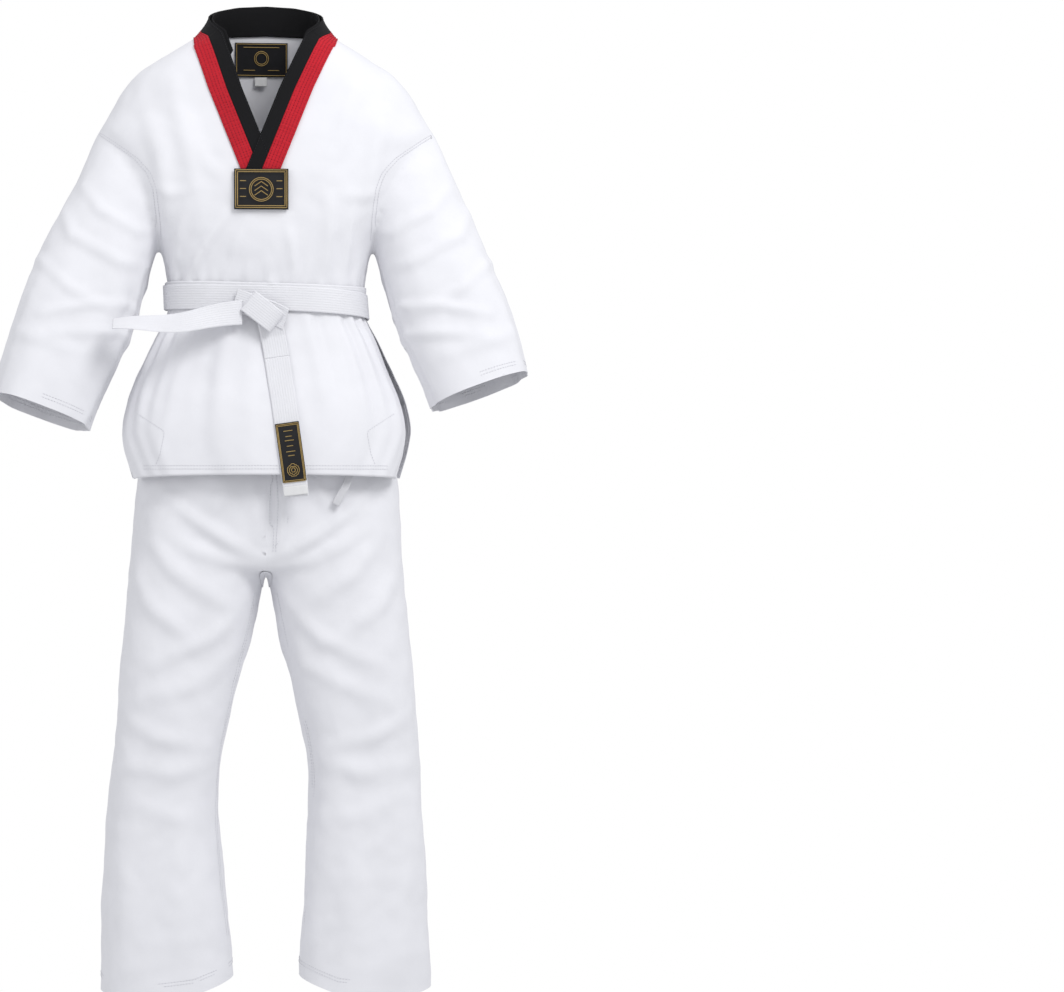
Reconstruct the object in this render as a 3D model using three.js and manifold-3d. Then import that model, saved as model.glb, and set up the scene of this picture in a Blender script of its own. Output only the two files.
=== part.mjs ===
// A martial arts uniform: V-neck pull-over jacket, trousers and a tied belt, filled out as on a wearer.
// Millimetres, +Z up, the front faces -Y and the wearer's left is +X.
// Heights below are measured up from the level of the trouser hems; the last group moves the origin
// to the centre of the waist opening.
import * as THREE from "three";
import { mergeVertices } from "three/addons/utils/BufferGeometryUtils.js";
import Module from "manifold-3d";

const wasm = await Module();
wasm.setup();

// ---- Driving dimensions ----
const CLOTH = 3; // wall that stands for canvas with its seams
const GAP = 0.3; // clearance between pieces that touch
const CRUMB = 1; // cubic millimetres, the most that a cut's leftover may hold
const SIDES = 24; // facets round a body section
const ROUND_SIDES = 48; // facets of the rounds that sleeves, legs and skirts turn in: few leave no room to turn
const BOXINESS = 2.5; // exponent of the rounded sections: 2 is an ellipse

const WAIST_TOP = 1047; // top edge of the waistband
const CASING_HEIGHT = 40;
const CASING_WALL = 8;
const CASING_OUTSET = 4; // of the casing's outer face from the seat's
const CHANNEL = { height: 34, depth: 2.2 };
const ELASTIC = { height: 30, thickness: 1.4 };
const SLOT = { x: 20, drop: 34, width: 14, height: 9 }; // drawstring slots in the casing's front

const BELT = { width: 38, thickness: 3, innerHeight: 1061, outerHeight: 1054, tilt: 4 };
const KNOT = { x: -5, height: 1034, width: 62, tall: 48, depth: 24, turn: -24 };
const FRONT_TAIL = { top: 970, bottom: 757, topX: 15, bottomX: 47 };
const SIDE_TAIL = { length: 190, drop: 18, forward: 26, twist: 55 };
const BELT_LABEL = { top: 869, bottom: 778, thickness: 1.5 };
const END_LABEL = { top: 776, bottom: 758, thickness: 1.5 };

const NECK = { front: 1316, halfWidth: 74, height: 1473, sideTop: 1486, backTop: 1517 };
const BLACK_BAND = 20; // width of the collar's inner band
const RED_BAND = 23; // width of the collar's outer band
const PATCH = { x: -7, height: 1223, width: 82, tall: 62, thickness: 2 };
const NECK_LABEL = { x: -7, top: 1470, bottom: 1417, width: 82, thickness: 1.5 };
const SIZE_TAG = { x: -8, top: 1416, bottom: 1402, width: 19, thickness: 1 };

const SHOULDER = { x: 215, height: 1232, radius: 98 }; // sleeve hinge and the round it turns in
const SLEEVE_ANGLE = 20; // from the vertical
const SLEEVE_FORWARD = 8; // lean of the hanging sleeve to the front
const SLEEVE_LENGTH = { right: 372, left: 336 };
const SKIRT_HINGE = { y: 88, height: 970, radius: 28 };
const SKIRT_HEM = 788;
const VENT = 3; // half the gap between front and back skirt at each side
const FACING = { width: 34, top: 900, thickness: 2 };
const LEG_HINGE = { height: 530, radius: 100 };
const HEM = { outer: 0, low: -11, lowX: 178, inner: 20 };
const SEAM_ANGLE = 30.6; // of the shoulder seam's plane, from the vertical
const NECK_SPLIT = 5; // where the collar's front V meets its back, just behind the ridge of the shoulders
const PATCH_CLEAR = 0.8; // a flat patch on the rounded chest
const TAG_BULGE = 0.1; // a flat tag inside a rounded neck stands off by this
const LABEL_CLEAR = 0.6; // a flat label inside the rounded neck
const BELT_CLEAR = 0.5;
const TAIL_CLEAR = 0.8; // of the side tail's hinged end from the knot
const TAPE_SECTION = { width: 12, thickness: 1.8 };
const GUSSET = { halfWidth: 27, top: 664, bottom: 625 };

// Outer face of the jacket by height: half-width, half-depth.
const JACKET = [
  [1030, 150, 105],
  [1085, 150, 105],
  [1120, 157, 112],
  [1150, 166, 118],
  [1223, 215, 119],
  [1279, 244, 113],
  [1314, 259, 107],
  [1341, 245, 101],
  [1403, 203, 90],
  [1449, 135, 80],
  [1465, 108, 76],
  [1480, 95, 73],
  [1530, 72, 68],
];
const SKIRT = [
  [770, 209, 136],
  [788, 211, 137],
  [860, 217, 135],
  [907, 208, 128],
  [938, 196, 121],
  [969, 182, 115],
  [1000, 168, 111],
  [1030, 150, 105],
];
// Outer face of the trousers' seat. The waist just fills the jacket where the belt holds both.
const waistReach = (axis) => JACKET[0][axis] - CLOTH - GAP - CASING_OUTSET;
const SEAT = [
  [642, 203, 84],
  [660, 208, 95],
  [720, 206, 105],
  [783, 200, 108],
  [860, 190, 106],
  [900, 177, 102],
  [940, 162, 97],
  [985, 147, 94],
  [WAIST_TOP - CASING_HEIGHT, waistReach(1), waistReach(2)],
  [WAIST_TOP, waistReach(1), waistReach(2)],
];
// Outer face of a leg by height: distance of its inner and outer side from the middle, half-depth.
const LEG = [
  [-30, 49, 255, 90],
  [39, 52, 254, 88],
  [163, 62, 249, 82],
  [287, 70, 241, 78],
  [349, 66, 235, 80],
  [411, 56, 230, 83],
  [473, 43, 228, 86],
  [535, 27, 223, 90],
  [600, 14, 217, 93],
  [640, 5, 213, 95],
  [740, 12, 200, 96],
];
// Outer face of a sleeve by distance along it from the hinge: reach outwards, reach inwards, half-depth.
const SLEEVE = [
  [-60, 73, 60, 66],
  [0, 76, 74, 76],
  [60, 79, 76, 80],
  [112, 83, 78, 82],
  [213, 88, 85, 81],
  [300, 84, 77, 76],
  [400, 72, 73, 72],
];

// The drawstring's free ends: x, y and drop below the waistband's top.
const DRAWSTRINGS = {
  drawstring_left_end: [
    [20, -98.9, 33],
    [20, -102.8, 34.5],
    [20.5, -103.1, 41.5],
    [22, -99.8, 49],
    [25, -97.7, 57],
    [31, -97.6, 72],
    [40, -100, 90],
    [54, -103.5, 109],
    [72, -106, 130],
    [92, -107, 150],
    [112, -106, 174],
    [126, -105, 200],
    [132, -104, 226],
    [130, -104, 250],
    [122, -105, 272],
    [112, -107, 290],
    [105, -108, 302],
  ],
  drawstring_right_end: [
    [-20, -98.9, 33],
    [-20, -102.8, 34.5],
    [-20.5, -103.1, 41.5],
    [-21.5, -99.8, 49],
    [-23.5, -97.7, 57],
    [-27, -97.6, 72],
    [-31, -101, 92],
    [-35, -106, 114],
    [-39, -110.5, 138],
    [-42, -113.5, 164],
    [-43, -116, 190],
    [-42, -117, 216],
    [-40, -117, 242],
  ],
};

// ---- Materials ----
const material = (colour, roughness) =>
  new THREE.MeshStandardMaterial({ color: new THREE.Color(...colour), roughness, metalness: 0 });
const CANVAS = material([0.93, 0.93, 0.95], 0.9);
const BLACK = material([0.012, 0.013, 0.016], 0.8);
const BELT_COTTON = material([0.88, 0.88, 0.9], 0.85);
const RED = material([0.62, 0.02, 0.05], 0.75);
const LABEL_WHITE = material([0.9, 0.9, 0.9], 0.6);
const LABEL_BLACK = material([0.02, 0.02, 0.02], 0.6);
const ELASTIC_WHITE = material([0.85, 0.85, 0.83], 0.8);
const TAPE = material([0.9, 0.9, 0.9], 0.7);

// ---- Solids ----
const radians = THREE.MathUtils.degToRad;

function solid(geometry) {
  const bare = geometry.clone();
  bare.deleteAttribute("normal");
  bare.deleteAttribute("uv");
  const merged = mergeVertices(bare, 1e-3);
  const mesh = new wasm.Mesh({
    numProp: 3,
    vertProperties: merged.attributes.position.array,
    triVerts: new Uint32Array(merged.index.array),
  });
  mesh.merge();
  return new wasm.Manifold(mesh);
}

function geometryOf(body) {
  const mesh = body.getMesh();
  const geometry = new THREE.BufferGeometry();
  geometry.setAttribute("position", new THREE.BufferAttribute(mesh.vertProperties, 3));
  geometry.setIndex(new THREE.BufferAttribute(mesh.triVerts, 1));
  return geometry.toNonIndexed();
}

// A closed solid through rings of points, all with the same number, flat at both ends.
function loft(rings) {
  const n = rings[0].length;
  const points = rings.flat();
  const ends = [rings[0], rings[rings.length - 1]].map((ring) =>
    ring.reduce((sum, p) => sum.add(p), new THREE.Vector3()).divideScalar(n),
  );
  const index = [];
  for (let i = 0; i + 1 < rings.length; i++)
    for (let j = 0; j < n; j++) {
      const a = i * n + j;
      const b = i * n + ((j + 1) % n);
      index.push(a, b, b + n, a, b + n, a + n);
    }
  const last = (rings.length - 1) * n;
  for (let j = 0; j < n; j++) {
    index.push(points.length, (j + 1) % n, j);
    index.push(points.length + 1, last + j, last + ((j + 1) % n));
  }
  const geometry = new THREE.BufferGeometry().setFromPoints([...points, ...ends]);
  geometry.setIndex(index);
  return outward(solid(geometry), geometry);
}

// The solid itself, or the same faces turned round if they point inwards.
function outward(body, geometry) {
  if (body.volume() > 0) return body;
  const index = Array.from(geometry.index.array);
  for (let i = 0; i < index.length; i += 3) [index[i + 1], index[i + 2]] = [index[i + 2], index[i + 1]];
  geometry.setIndex(index);
  return solid(geometry);
}

// A sheet of even thickness over a grid of rows of points, with its rims closed.
function slab(rows, thickness, closed = false) {
  const n = rows[0].length;
  const at = (i, j) => rows[i][closed ? (j + n) % n : THREE.MathUtils.clamp(j, 0, n - 1)];
  const faces = [1, -1].map((side) =>
    rows.map((row, i) =>
      row.map((p, j) => {
        const along = at(Math.min(i + 1, rows.length - 1), j).clone().sub(at(Math.max(i - 1, 0), j));
        const across = at(i, j + 1).clone().sub(at(i, j - 1));
        return p.clone().addScaledVector(along.cross(across).normalize(), (side * thickness) / 2);
      }),
    ),
  );
  const points = faces.flat(2);
  const half = rows.length * n;
  const index = [];
  const quad = (a, b, c, d) => index.push(a, b, c, a, c, d);
  const across = closed ? n : n - 1;
  for (let i = 0; i + 1 < rows.length; i++)
    for (let j = 0; j < across; j++) {
      const [a, b] = [i * n + j, i * n + ((j + 1) % n)];
      quad(a, a + n, b + n, b);
      quad(half + a, half + b, half + b + n, half + a + n);
    }
  for (let j = 0; j < across; j++) {
    const [a, b] = [j, (j + 1) % n];
    const lastRow = (rows.length - 1) * n;
    quad(a, b, half + b, half + a);
    quad(lastRow + b, lastRow + a, half + lastRow + a, half + lastRow + b);
  }
  if (!closed)
    for (let i = 0; i + 1 < rows.length; i++) {
      const [a, b] = [i * n, i * n + n - 1];
      quad(a + n, a, half + a, half + a + n);
      quad(b, b + n, half + b + n, half + b);
    }
  const geometry = new THREE.BufferGeometry().setFromPoints(points);
  geometry.setIndex(index);
  return outward(solid(geometry), geometry);
}

// Points round a rounded section with the given centre and two half-axes.
function ring(centre, across, deep) {
  const points = [];
  for (let i = 0; i < SIDES; i++) {
    const angle = (2 * Math.PI * i) / SIDES;
    const power = (v) => Math.sign(v) * Math.abs(v) ** (2 / BOXINESS);
    points.push(
      centre
        .clone()
        .addScaledVector(across, power(Math.cos(angle)))
        .addScaledVector(deep, power(Math.sin(angle))),
    );
  }
  return points;
}

const upright = (profile, inset) =>
  profile.map(([z, a, b]) =>
    ring(
      new THREE.Vector3(0, 0, z),
      new THREE.Vector3(a - inset, 0, 0),
      new THREE.Vector3(0, b - inset, 0),
    ),
  );

function legRings(side, inset) {
  return LEG.map(([z, inner, outer, b]) =>
    ring(
      new THREE.Vector3((side * (inner + outer)) / 2, 0, z),
      new THREE.Vector3((outer - inner) / 2 - inset, 0, 0),
      new THREE.Vector3(0, b - inset, 0),
    ),
  );
}

// A sleeve's rings on the +X side; the other side mirrors them.
function sleeveRings(inset) {
  const outwards = new THREE.Vector3(Math.cos(radians(SLEEVE_ANGLE)), 0, Math.sin(radians(SLEEVE_ANGLE)));
  const lean = radians(SLEEVE_FORWARD);
  const down = new THREE.Vector3(Math.sin(radians(SLEEVE_ANGLE)), 0, -Math.cos(radians(SLEEVE_ANGLE)));
  const along = down.multiplyScalar(Math.cos(lean)).add(new THREE.Vector3(0, -Math.sin(lean), 0));
  const deep = along.clone().cross(outwards).normalize();
  const hinge = new THREE.Vector3(SHOULDER.x, 0, SHOULDER.height);
  return SLEEVE.map(([t, out, inn, b]) =>
    ring(
      hinge.clone().addScaledVector(along, t).addScaledVector(outwards, (out - inn) / 2),
      outwards.clone().multiplyScalar((out + inn) / 2 - inset),
      deep.clone().multiplyScalar(b - inset),
    ),
  );
}

const boxBody = (low, high) =>
  solid(
    new THREE.BoxGeometry(high[0] - low[0], high[1] - low[1], high[2] - low[2]).translate(
      (low[0] + high[0]) / 2,
      (low[1] + high[1]) / 2,
      (low[2] + high[2]) / 2,
    ),
  );

// A prism of an outline in the XZ plane, from front to back along Y.
function prismY(outline, front, back) {
  const shape = new THREE.Shape(outline.map(([x, z]) => new THREE.Vector2(x, z)));
  const geometry = new THREE.ExtrudeGeometry(shape, { depth: back - front, bevelEnabled: false });
  return solid(geometry.rotateX(Math.PI / 2).translate(0, back, 0));
}

// A prism of an outline in the YZ plane, along X.
function prismX(outline, left, right) {
  const shape = new THREE.Shape(outline.map(([y, z]) => new THREE.Vector2(y, z)));
  const geometry = new THREE.ExtrudeGeometry(shape, { depth: right - left, bevelEnabled: false });
  return solid(geometry.rotateX(Math.PI / 2).rotateZ(Math.PI / 2).translate(left, 0, 0));
}

const mirrored = (body) => body.mirror([1, 0, 0]);
const WIDE = 600;
const roundAlongY = (x, z, radius) =>
  solid(new THREE.CylinderGeometry(radius, radius, WIDE, ROUND_SIDES).translate(x, 0, z));
const roundAlongX = (y, z, radius) =>
  solid(new THREE.CylinderGeometry(radius, radius, 2 * WIDE, ROUND_SIDES).rotateZ(Math.PI / 2).translate(0, y, z));

const pieces = new THREE.Group();

// The piece without the crumbs that a cut along a seam can leave beside it.
function withoutCrumbs(body) {
  const parts = body.decompose();
  const kept = parts.filter((part) => part.volume() > CRUMB);
  return kept.length === 1 ? kept[0] : body;
}

function add(name, body, finish) {
  const mesh = new THREE.Mesh(geometryOf(withoutCrumbs(body)), finish);
  mesh.name = name;
  pieces.add(mesh);
}

// ---- Surfaces that other pieces lie on ----

// The ring of a profile at any height, on its facets.
function sectionAt(profile, z, outset) {
  const k = Math.min(Math.max(profile.findIndex(([h]) => h > z), 1), profile.length - 1);
  const [[z0, a0, b0], [z1, a1, b1]] = [profile[k - 1], profile[k]];
  const t = (z - z0) / (z1 - z0);
  return upright([[z, a0 + (a1 - a0) * t, b0 + (b1 - b0) * t]], -outset)[0];
}

// The point of a profile's front (side -1) or back (side 1) at a given x and height.
function pointOn(profile, x, z, side, outset) {
  const section = sectionAt(profile, z, outset);
  for (let i = 0; i < SIDES; i++) {
    const [p, q] = [section[i], section[(i + 1) % SIDES]];
    const inside = (p.x - x) * (q.x - x) <= 0 && p.x !== q.x;
    if (inside && side * (p.y + q.y) > 0)
      return new THREE.Vector3(x, p.y + ((q.y - p.y) * (x - p.x)) / (q.x - p.x), z);
  }
  throw new Error("no such point on the profile");
}

function range(low, high, steps) {
  return Array.from({ length: steps + 1 }, (_, i) => low + ((high - low) * i) / steps);
}

// A patch of even thickness lying on a profile.
function patchOn(profile, side, { x, top, bottom, width, thickness }, clear) {
  const rows = range(bottom, top, 4).map((z) =>
    range(x - width / 2, x + width / 2, 6).map((px) => pointOn(profile, px, z, side, clear)),
  );
  return slab(rows, thickness);
}

// ---- Jacket and sleeves: one wall, parted at seams ----

const sleeveSolid = (inset) => loft(sleeveRings(inset));
const outerSleeve = sleeveSolid(0);
const innerSleeve = sleeveSolid(CLOTH);
const outerBody = loft(upright(JACKET, 0));
const innerBody = loft(upright(JACKET, CLOTH));
const jacketWall = outerBody
  .add(outerSleeve)
  .add(mirrored(outerSleeve))
  .subtract(innerBody.add(innerSleeve).add(mirrored(innerSleeve)));

// Everything beyond the plane of the shoulder seam, which passes through the sleeve's hinge.
function beyondSeam(clear) {
  const angle = radians(SEAM_ANGLE);
  const seam = new THREE.Vector2(Math.sin(angle), Math.cos(angle)).multiplyScalar(WIDE);
  const out = new THREE.Vector2(Math.cos(angle), -Math.sin(angle));
  const foot = new THREE.Vector2(SHOULDER.x, SHOULDER.height).addScaledVector(out, clear);
  const corners = [
    foot.clone().add(seam),
    foot.clone().sub(seam),
    foot.clone().sub(seam).addScaledVector(out, WIDE),
    foot.clone().add(seam).addScaledVector(out, WIDE),
  ];
  return prismY(corners.map((p) => [p.x, p.y]), -WIDE / 2, WIDE / 2);
}

// The sleeve's share of the wall: the round it turns in, and its tube beyond the seam.
const sleeveSpace = (clear) =>
  roundAlongY(SHOULDER.x, SHOULDER.height, SHOULDER.radius + clear).add(
    beyondSeam(-clear).intersect(sleeveSolid(-1 - clear)),
  );
const sleeveWall = jacketWall.intersect(sleeveSpace(0));
const sleeveCut = sleeveSpace(GAP);

// A sleeve cut off square at its cuff.
function sleeveTo(length) {
  const [a, lean] = [radians(SLEEVE_ANGLE), radians(SLEEVE_FORWARD)];
  const cuff = new THREE.BoxGeometry(WIDE, WIDE, WIDE)
    .translate(0, 0, -WIDE / 2 - length)
    .rotateX(-lean)
    .rotateY(-a)
    .translate(SHOULDER.x, 0, SHOULDER.height);
  return sleeveWall.subtract(solid(cuff));
}
add("left_sleeve", sleeveTo(SLEEVE_LENGTH.left), CANVAS);
add("right_sleeve", mirrored(sleeveTo(SLEEVE_LENGTH.right)), CANVAS);

// The neck and the collar's bands: a V in front and a slanting cut behind the shoulders.
function neckSpace(width) {
  const rise = NECK.height - NECK.front;
  const slope = Math.atan2(NECK.halfWidth, rise);
  const foot = NECK.front - width / Math.sin(slope);
  const reach = 1.6 * (NECK.height + width - foot);
  const half = reach * Math.tan(slope);
  const front = prismY(
    [
      [0, foot],
      [half, foot + reach],
      [-half, foot + reach],
    ],
    -WIDE,
    NECK_SPLIT,
  );
  const back = prismX(
    [
      [NECK_SPLIT - 1, NECK.sideTop - width],
      [90, NECK.backTop - 1.35 * width],
      [WIDE, NECK.backTop - 1.35 * width],
      [WIDE, WIDE * 3],
      [NECK_SPLIT - 1, WIDE * 3],
    ],
    -WIDE,
    WIDE,
  );
  return front.add(back);
}

const bodyWall = jacketWall.subtract(sleeveCut).subtract(mirrored(sleeveCut));
const neck = neckSpace(0);
const toBlack = neckSpace(BLACK_BAND);
const toRed = neckSpace(BLACK_BAND + RED_BAND);
const collarWall = outerBody.subtract(innerBody);
add("collar_black_band", collarWall.intersect(toBlack).subtract(neck), BLACK);
add(
  "collar_red_band",
  collarWall.intersect(toRed).subtract(neckSpace(BLACK_BAND + GAP)),
  RED,
);

// The jacket's skirt hangs from a round at the height of its hinges, front and back.
const skirtOuter = loft(upright(SKIRT, 0));
const skirtInner = loft(upright(SKIRT, CLOTH));
const panelFoot = JACKET[0][0];
const hingeRound = (side, clear) =>
  roundAlongX(side * SKIRT_HINGE.y, SKIRT_HINGE.height, SKIRT_HINGE.radius + clear);
const above = (z) => boxBody([-WIDE, -WIDE, z], [WIDE, WIDE, 3 * WIDE]);
const below = (z) => boxBody([-WIDE, -WIDE, -WIDE], [WIDE, WIDE, z]);
const halfSpace = (side, from) =>
  side < 0 ? boxBody([-WIDE, -WIDE, -WIDE], [WIDE, -from, 3 * WIDE]) :
    boxBody([-WIDE, from, -WIDE], [WIDE, WIDE, 3 * WIDE]);

const skirtWall = skirtOuter.subtract(skirtInner).intersect(below(panelFoot)).intersect(above(SKIRT_HEM));
const torsoWall = bodyWall.intersect(above(panelFoot)).subtract(neckSpace(BLACK_BAND + RED_BAND + GAP));
const fixedSkirt = skirtWall.intersect(above(SKIRT_HINGE.height + GAP));
for (const [side, name] of [
  [-1, "front"],
  [1, "back"],
]) {
  const half = halfSpace(side, GAP / 2);
  const upper = torsoWall.add(fixedSkirt.subtract(hingeRound(side, GAP))).intersect(half);
  add("jacket_" + name, upper, CANVAS);
  const flap = skirtWall.intersect(below(SKIRT_HINGE.height).add(hingeRound(side, 0)));
  add(name + "_skirt_panel", flap.intersect(halfSpace(side, VENT)), CANVAS);
}

// Facings inside the skirt panels, along the side vents.
for (const [side, name] of [
  [-1, "front"],
  [1, "back"],
])
  for (const [hand, which] of [
    [1, "left"],
    [-1, "right"],
  ]) {
    const lining = loft(upright(SKIRT, CLOTH + GAP)).subtract(
      loft(upright(SKIRT, CLOTH + GAP + FACING.thickness)),
    );
    const band = boxBody(
      [Math.min(hand * 20, hand * WIDE), -WIDE, SKIRT_HEM + 1],
      [Math.max(hand * 20, hand * WIDE), WIDE, FACING.top],
    );
    const edge = halfSpace(side, VENT).subtract(halfSpace(side, VENT + FACING.width));
    add(name + "_vent_facing_" + which, lining.intersect(band).intersect(edge), CANVAS);
  }

// ---- Patches and labels of the jacket ----
add(
  "chest_patch",
  patchOn(
    JACKET,
    -1,
    { ...PATCH, top: PATCH.height + PATCH.tall / 2, bottom: PATCH.height - PATCH.tall / 2 },
    PATCH.thickness / 2 + PATCH_CLEAR,
  ),
  LABEL_BLACK,
);
add("neck_label", patchOn(JACKET, 1, NECK_LABEL, -CLOTH - LABEL_CLEAR - NECK_LABEL.thickness / 2), LABEL_BLACK);

// The tag is sewn in under the label and hangs plumb from there.
function sizeTag({ x, top, bottom, width, thickness }) {
  const sewn = pointOn(JACKET, x, top, 1, -CLOTH - LABEL_CLEAR - thickness / 2);
  const rows = [bottom, top].map((z) =>
    [-1, 1].map((hand) => new THREE.Vector3(x + (hand * width) / 2, sewn.y - TAG_BULGE, z)),
  );
  return slab(rows, thickness);
}
add("size_tag", sizeTag(SIZE_TAG), LABEL_WHITE);

// ---- Belt ----

// A turn of the belt round the waist, tilted from side to side.
function beltTurn(height, outset) {
  const waist = sectionAt(JACKET, height, outset);
  const rows = [-BELT.width / 2, BELT.width / 2].map((dz) =>
    waist.map((p) => p.clone().setZ(height + dz + (BELT.tilt * p.x) / waist[0].x)),
  );
  return slab(rows, BELT.thickness, true);
}
const innerOutset = BELT_CLEAR + BELT.thickness / 2;
const outerOutset = innerOutset + BELT.thickness + BELT_CLEAR;
const beltFace = outerOutset + BELT.thickness / 2;
add("belt_inner_wrap", beltTurn(BELT.innerHeight, innerOutset), BELT_COTTON);
add("belt_outer_wrap", beltTurn(BELT.outerHeight, outerOutset), BELT_COTTON);

const waistDepth = JACKET[1][2];
const knotBack = waistDepth + beltFace + GAP;
function knot() {
  const [w, h] = [KNOT.width / 2, KNOT.tall / 2];
  const shape = new THREE.Shape();
  shape.absellipse(0, 0, w, h, 0, 2 * Math.PI);
  const geometry = new THREE.ExtrudeGeometry(shape, {
    depth: KNOT.depth - 12,
    bevelThickness: 6,
    bevelSize: 6,
    bevelOffset: -6,
    bevelSegments: 2,
    curveSegments: 10,
  });
  geometry.translate(0, 0, 6).rotateX(Math.PI / 2).rotateY(radians(KNOT.turn));
  return solid(geometry.translate(KNOT.x, -knotBack, KNOT.height));
}
add("belt_knot", knot(), BELT_COTTON);

// The hanging tail lies on the front skirt and bends where the skirt does.
function tailRows(top, bottom, width, outset) {
  const bends = SKIRT.map(([z]) => z).filter((z) => z < top && z > bottom);
  return [bottom, ...bends, top].map((z) => {
    const t = (FRONT_TAIL.top - z) / (FRONT_TAIL.top - FRONT_TAIL.bottom);
    const x = FRONT_TAIL.topX + (FRONT_TAIL.bottomX - FRONT_TAIL.topX) * t;
    const rest = Math.max(z, SKIRT_HEM);
    const y = Math.min(...[-1, 0, 1].map((k) => pointOn(SKIRT, x + (k * width) / 2, rest, -1, outset).y));
    return [-1, 1].map((k) => new THREE.Vector3(x + (k * width) / 2, y, z));
  });
}
const tailOutset = BELT_CLEAR + BELT.thickness / 2;
const labelOutset = tailOutset + BELT.thickness / 2 + GAP;
add(
  "belt_front_tail",
  slab(tailRows(FRONT_TAIL.top, FRONT_TAIL.bottom, BELT.width, tailOutset), BELT.thickness),
  BELT_COTTON,
);
for (const [name, label, finish] of [
  ["belt_label", BELT_LABEL, LABEL_BLACK],
  ["belt_end_label", END_LABEL, LABEL_WHITE],
])
  add(
    name,
    slab(tailRows(label.top, label.bottom, BELT.width - 2, labelOutset + label.thickness / 2), label.thickness),
    finish,
  );

// The other tail stands out from the knot to the wearer's right, turning from upright to nearly flat.
function sideTail() {
  const turned = radians(KNOT.turn);
  const reach = Math.hypot((KNOT.width / 2) * Math.cos(turned), (KNOT.tall / 2) * Math.sin(turned));
  const start = KNOT.x - reach - TAIL_CLEAR;
  const rows = range(0, 1, 8).map((t) => {
    const centre = new THREE.Vector3(
      start - SIDE_TAIL.length * t,
      -knotBack - KNOT.depth / 2 - SIDE_TAIL.forward * t,
      KNOT.height - SIDE_TAIL.drop * t,
    );
    const turn = radians(SIDE_TAIL.twist * t);
    const across = new THREE.Vector3(0, Math.sin(turn), Math.cos(turn)).multiplyScalar(BELT.width / 2);
    return [-1, 1].map((k) => centre.clone().addScaledVector(across, k));
  });
  return slab(rows, BELT.thickness);
}
add("belt_side_tail", sideTail(), BELT_COTTON);

// ---- Trousers ----
const legs = (inset) => loft(legRings(1, inset)).add(loft(legRings(-1, inset)));
const seatOuter = loft(upright(SEAT, 0)).add(legs(0));
const seatInner = loft(upright(SEAT, CLOTH)).intersect(above(SEAT[0][0] + CLOTH));
const seatFoot = WAIST_TOP - CASING_HEIGHT - GAP;
const trouserWall = seatOuter.subtract(seatInner.add(legs(CLOTH))).intersect(below(seatFoot));

// Below the hem, which hangs lowest a little inside the outer edge.
const hemOutline = [
  [-WIDE, -100],
  [20, -100],
  [20, HEM.inner + 10],
  [LEG[0][1], HEM.inner],
  [HEM.lowX, HEM.low],
  [LEG[0][2], HEM.outer],
  [WIDE, HEM.outer],
  [WIDE, -100],
];
const hemCut = prismY(hemOutline.slice(1), -WIDE, WIDE);
const legRound = (clear) => roundAlongX(0, LEG_HINGE.height, LEG_HINGE.radius + clear);
const legWall = trouserWall
  .intersect(below(LEG_HINGE.height).add(legRound(0)))
  .subtract(hemCut)
  .subtract(mirrored(hemCut));
const seatWall = trouserWall.intersect(above(LEG_HINGE.height)).subtract(legRound(GAP));

const gussetSpace = (clear) =>
  prismY(
    [
      [-GUSSET.halfWidth - clear, GUSSET.bottom],
      [GUSSET.halfWidth + clear, GUSSET.bottom],
      [GUSSET.halfWidth + clear, (GUSSET.bottom + GUSSET.top) / 2],
      [0, GUSSET.top + clear],
      [-GUSSET.halfWidth - clear, (GUSSET.bottom + GUSSET.top) / 2],
    ],
    -WIDE,
    WIDE,
  );
add("crotch_gusset", seatWall.intersect(gussetSpace(0)), CANVAS);
for (const [name, low, high] of [
  ["left", GAP / 2, WIDE],
  ["right", -WIDE, -GAP / 2],
]) {
  const side = boxBody([low, -WIDE, -WIDE], [high, WIDE, 3 * WIDE]);
  add("trousers_" + name + "_half", seatWall.subtract(gussetSpace(GAP)).intersect(side), CANVAS);
  add(name + "_leg", legWall.intersect(side), CANVAS);
}

// The casing with its channel, its two slots, and the elastic inside.
const waist = SEAT[SEAT.length - 1];
const ringBody = (outset, inset, low, high) =>
  loft(upright([[low, waist[1] + outset, waist[2] + outset], [high, waist[1] + outset, waist[2] + outset]], 0))
    .subtract(
      loft(
        upright(
          [
            [low - 1, waist[1] - inset, waist[2] - inset],
            [high + 1, waist[1] - inset, waist[2] - inset],
          ],
          0,
        ),
      ),
    );
const casingMiddle = WAIST_TOP - CASING_HEIGHT / 2;
const channel = ringBody(
  CHANNEL.depth / 2,
  CHANNEL.depth / 2,
  casingMiddle - CHANNEL.height / 2,
  casingMiddle + CHANNEL.height / 2,
);
const slots = [-1, 1].map((hand) =>
  boxBody(
    [hand * SLOT.x - SLOT.width / 2, -waist[2] - 20, WAIST_TOP - SLOT.drop - SLOT.height / 2],
    [hand * SLOT.x + SLOT.width / 2, -waist[2] + 1, WAIST_TOP - SLOT.drop + SLOT.height / 2],
  ),
);
const casing = ringBody(CASING_OUTSET, CASING_WALL - CASING_OUTSET, WAIST_TOP - CASING_HEIGHT, WAIST_TOP)
  .subtract(channel)
  .subtract(slots[0])
  .subtract(slots[1]);
add("waistband_casing", casing, CANVAS);
add(
  "waist_elastic",
  ringBody(
    ELASTIC.thickness / 2,
    ELASTIC.thickness / 2,
    casingMiddle - ELASTIC.height / 2,
    casingMiddle + ELASTIC.height / 2,
  ),
  ELASTIC_WHITE,
);

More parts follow.
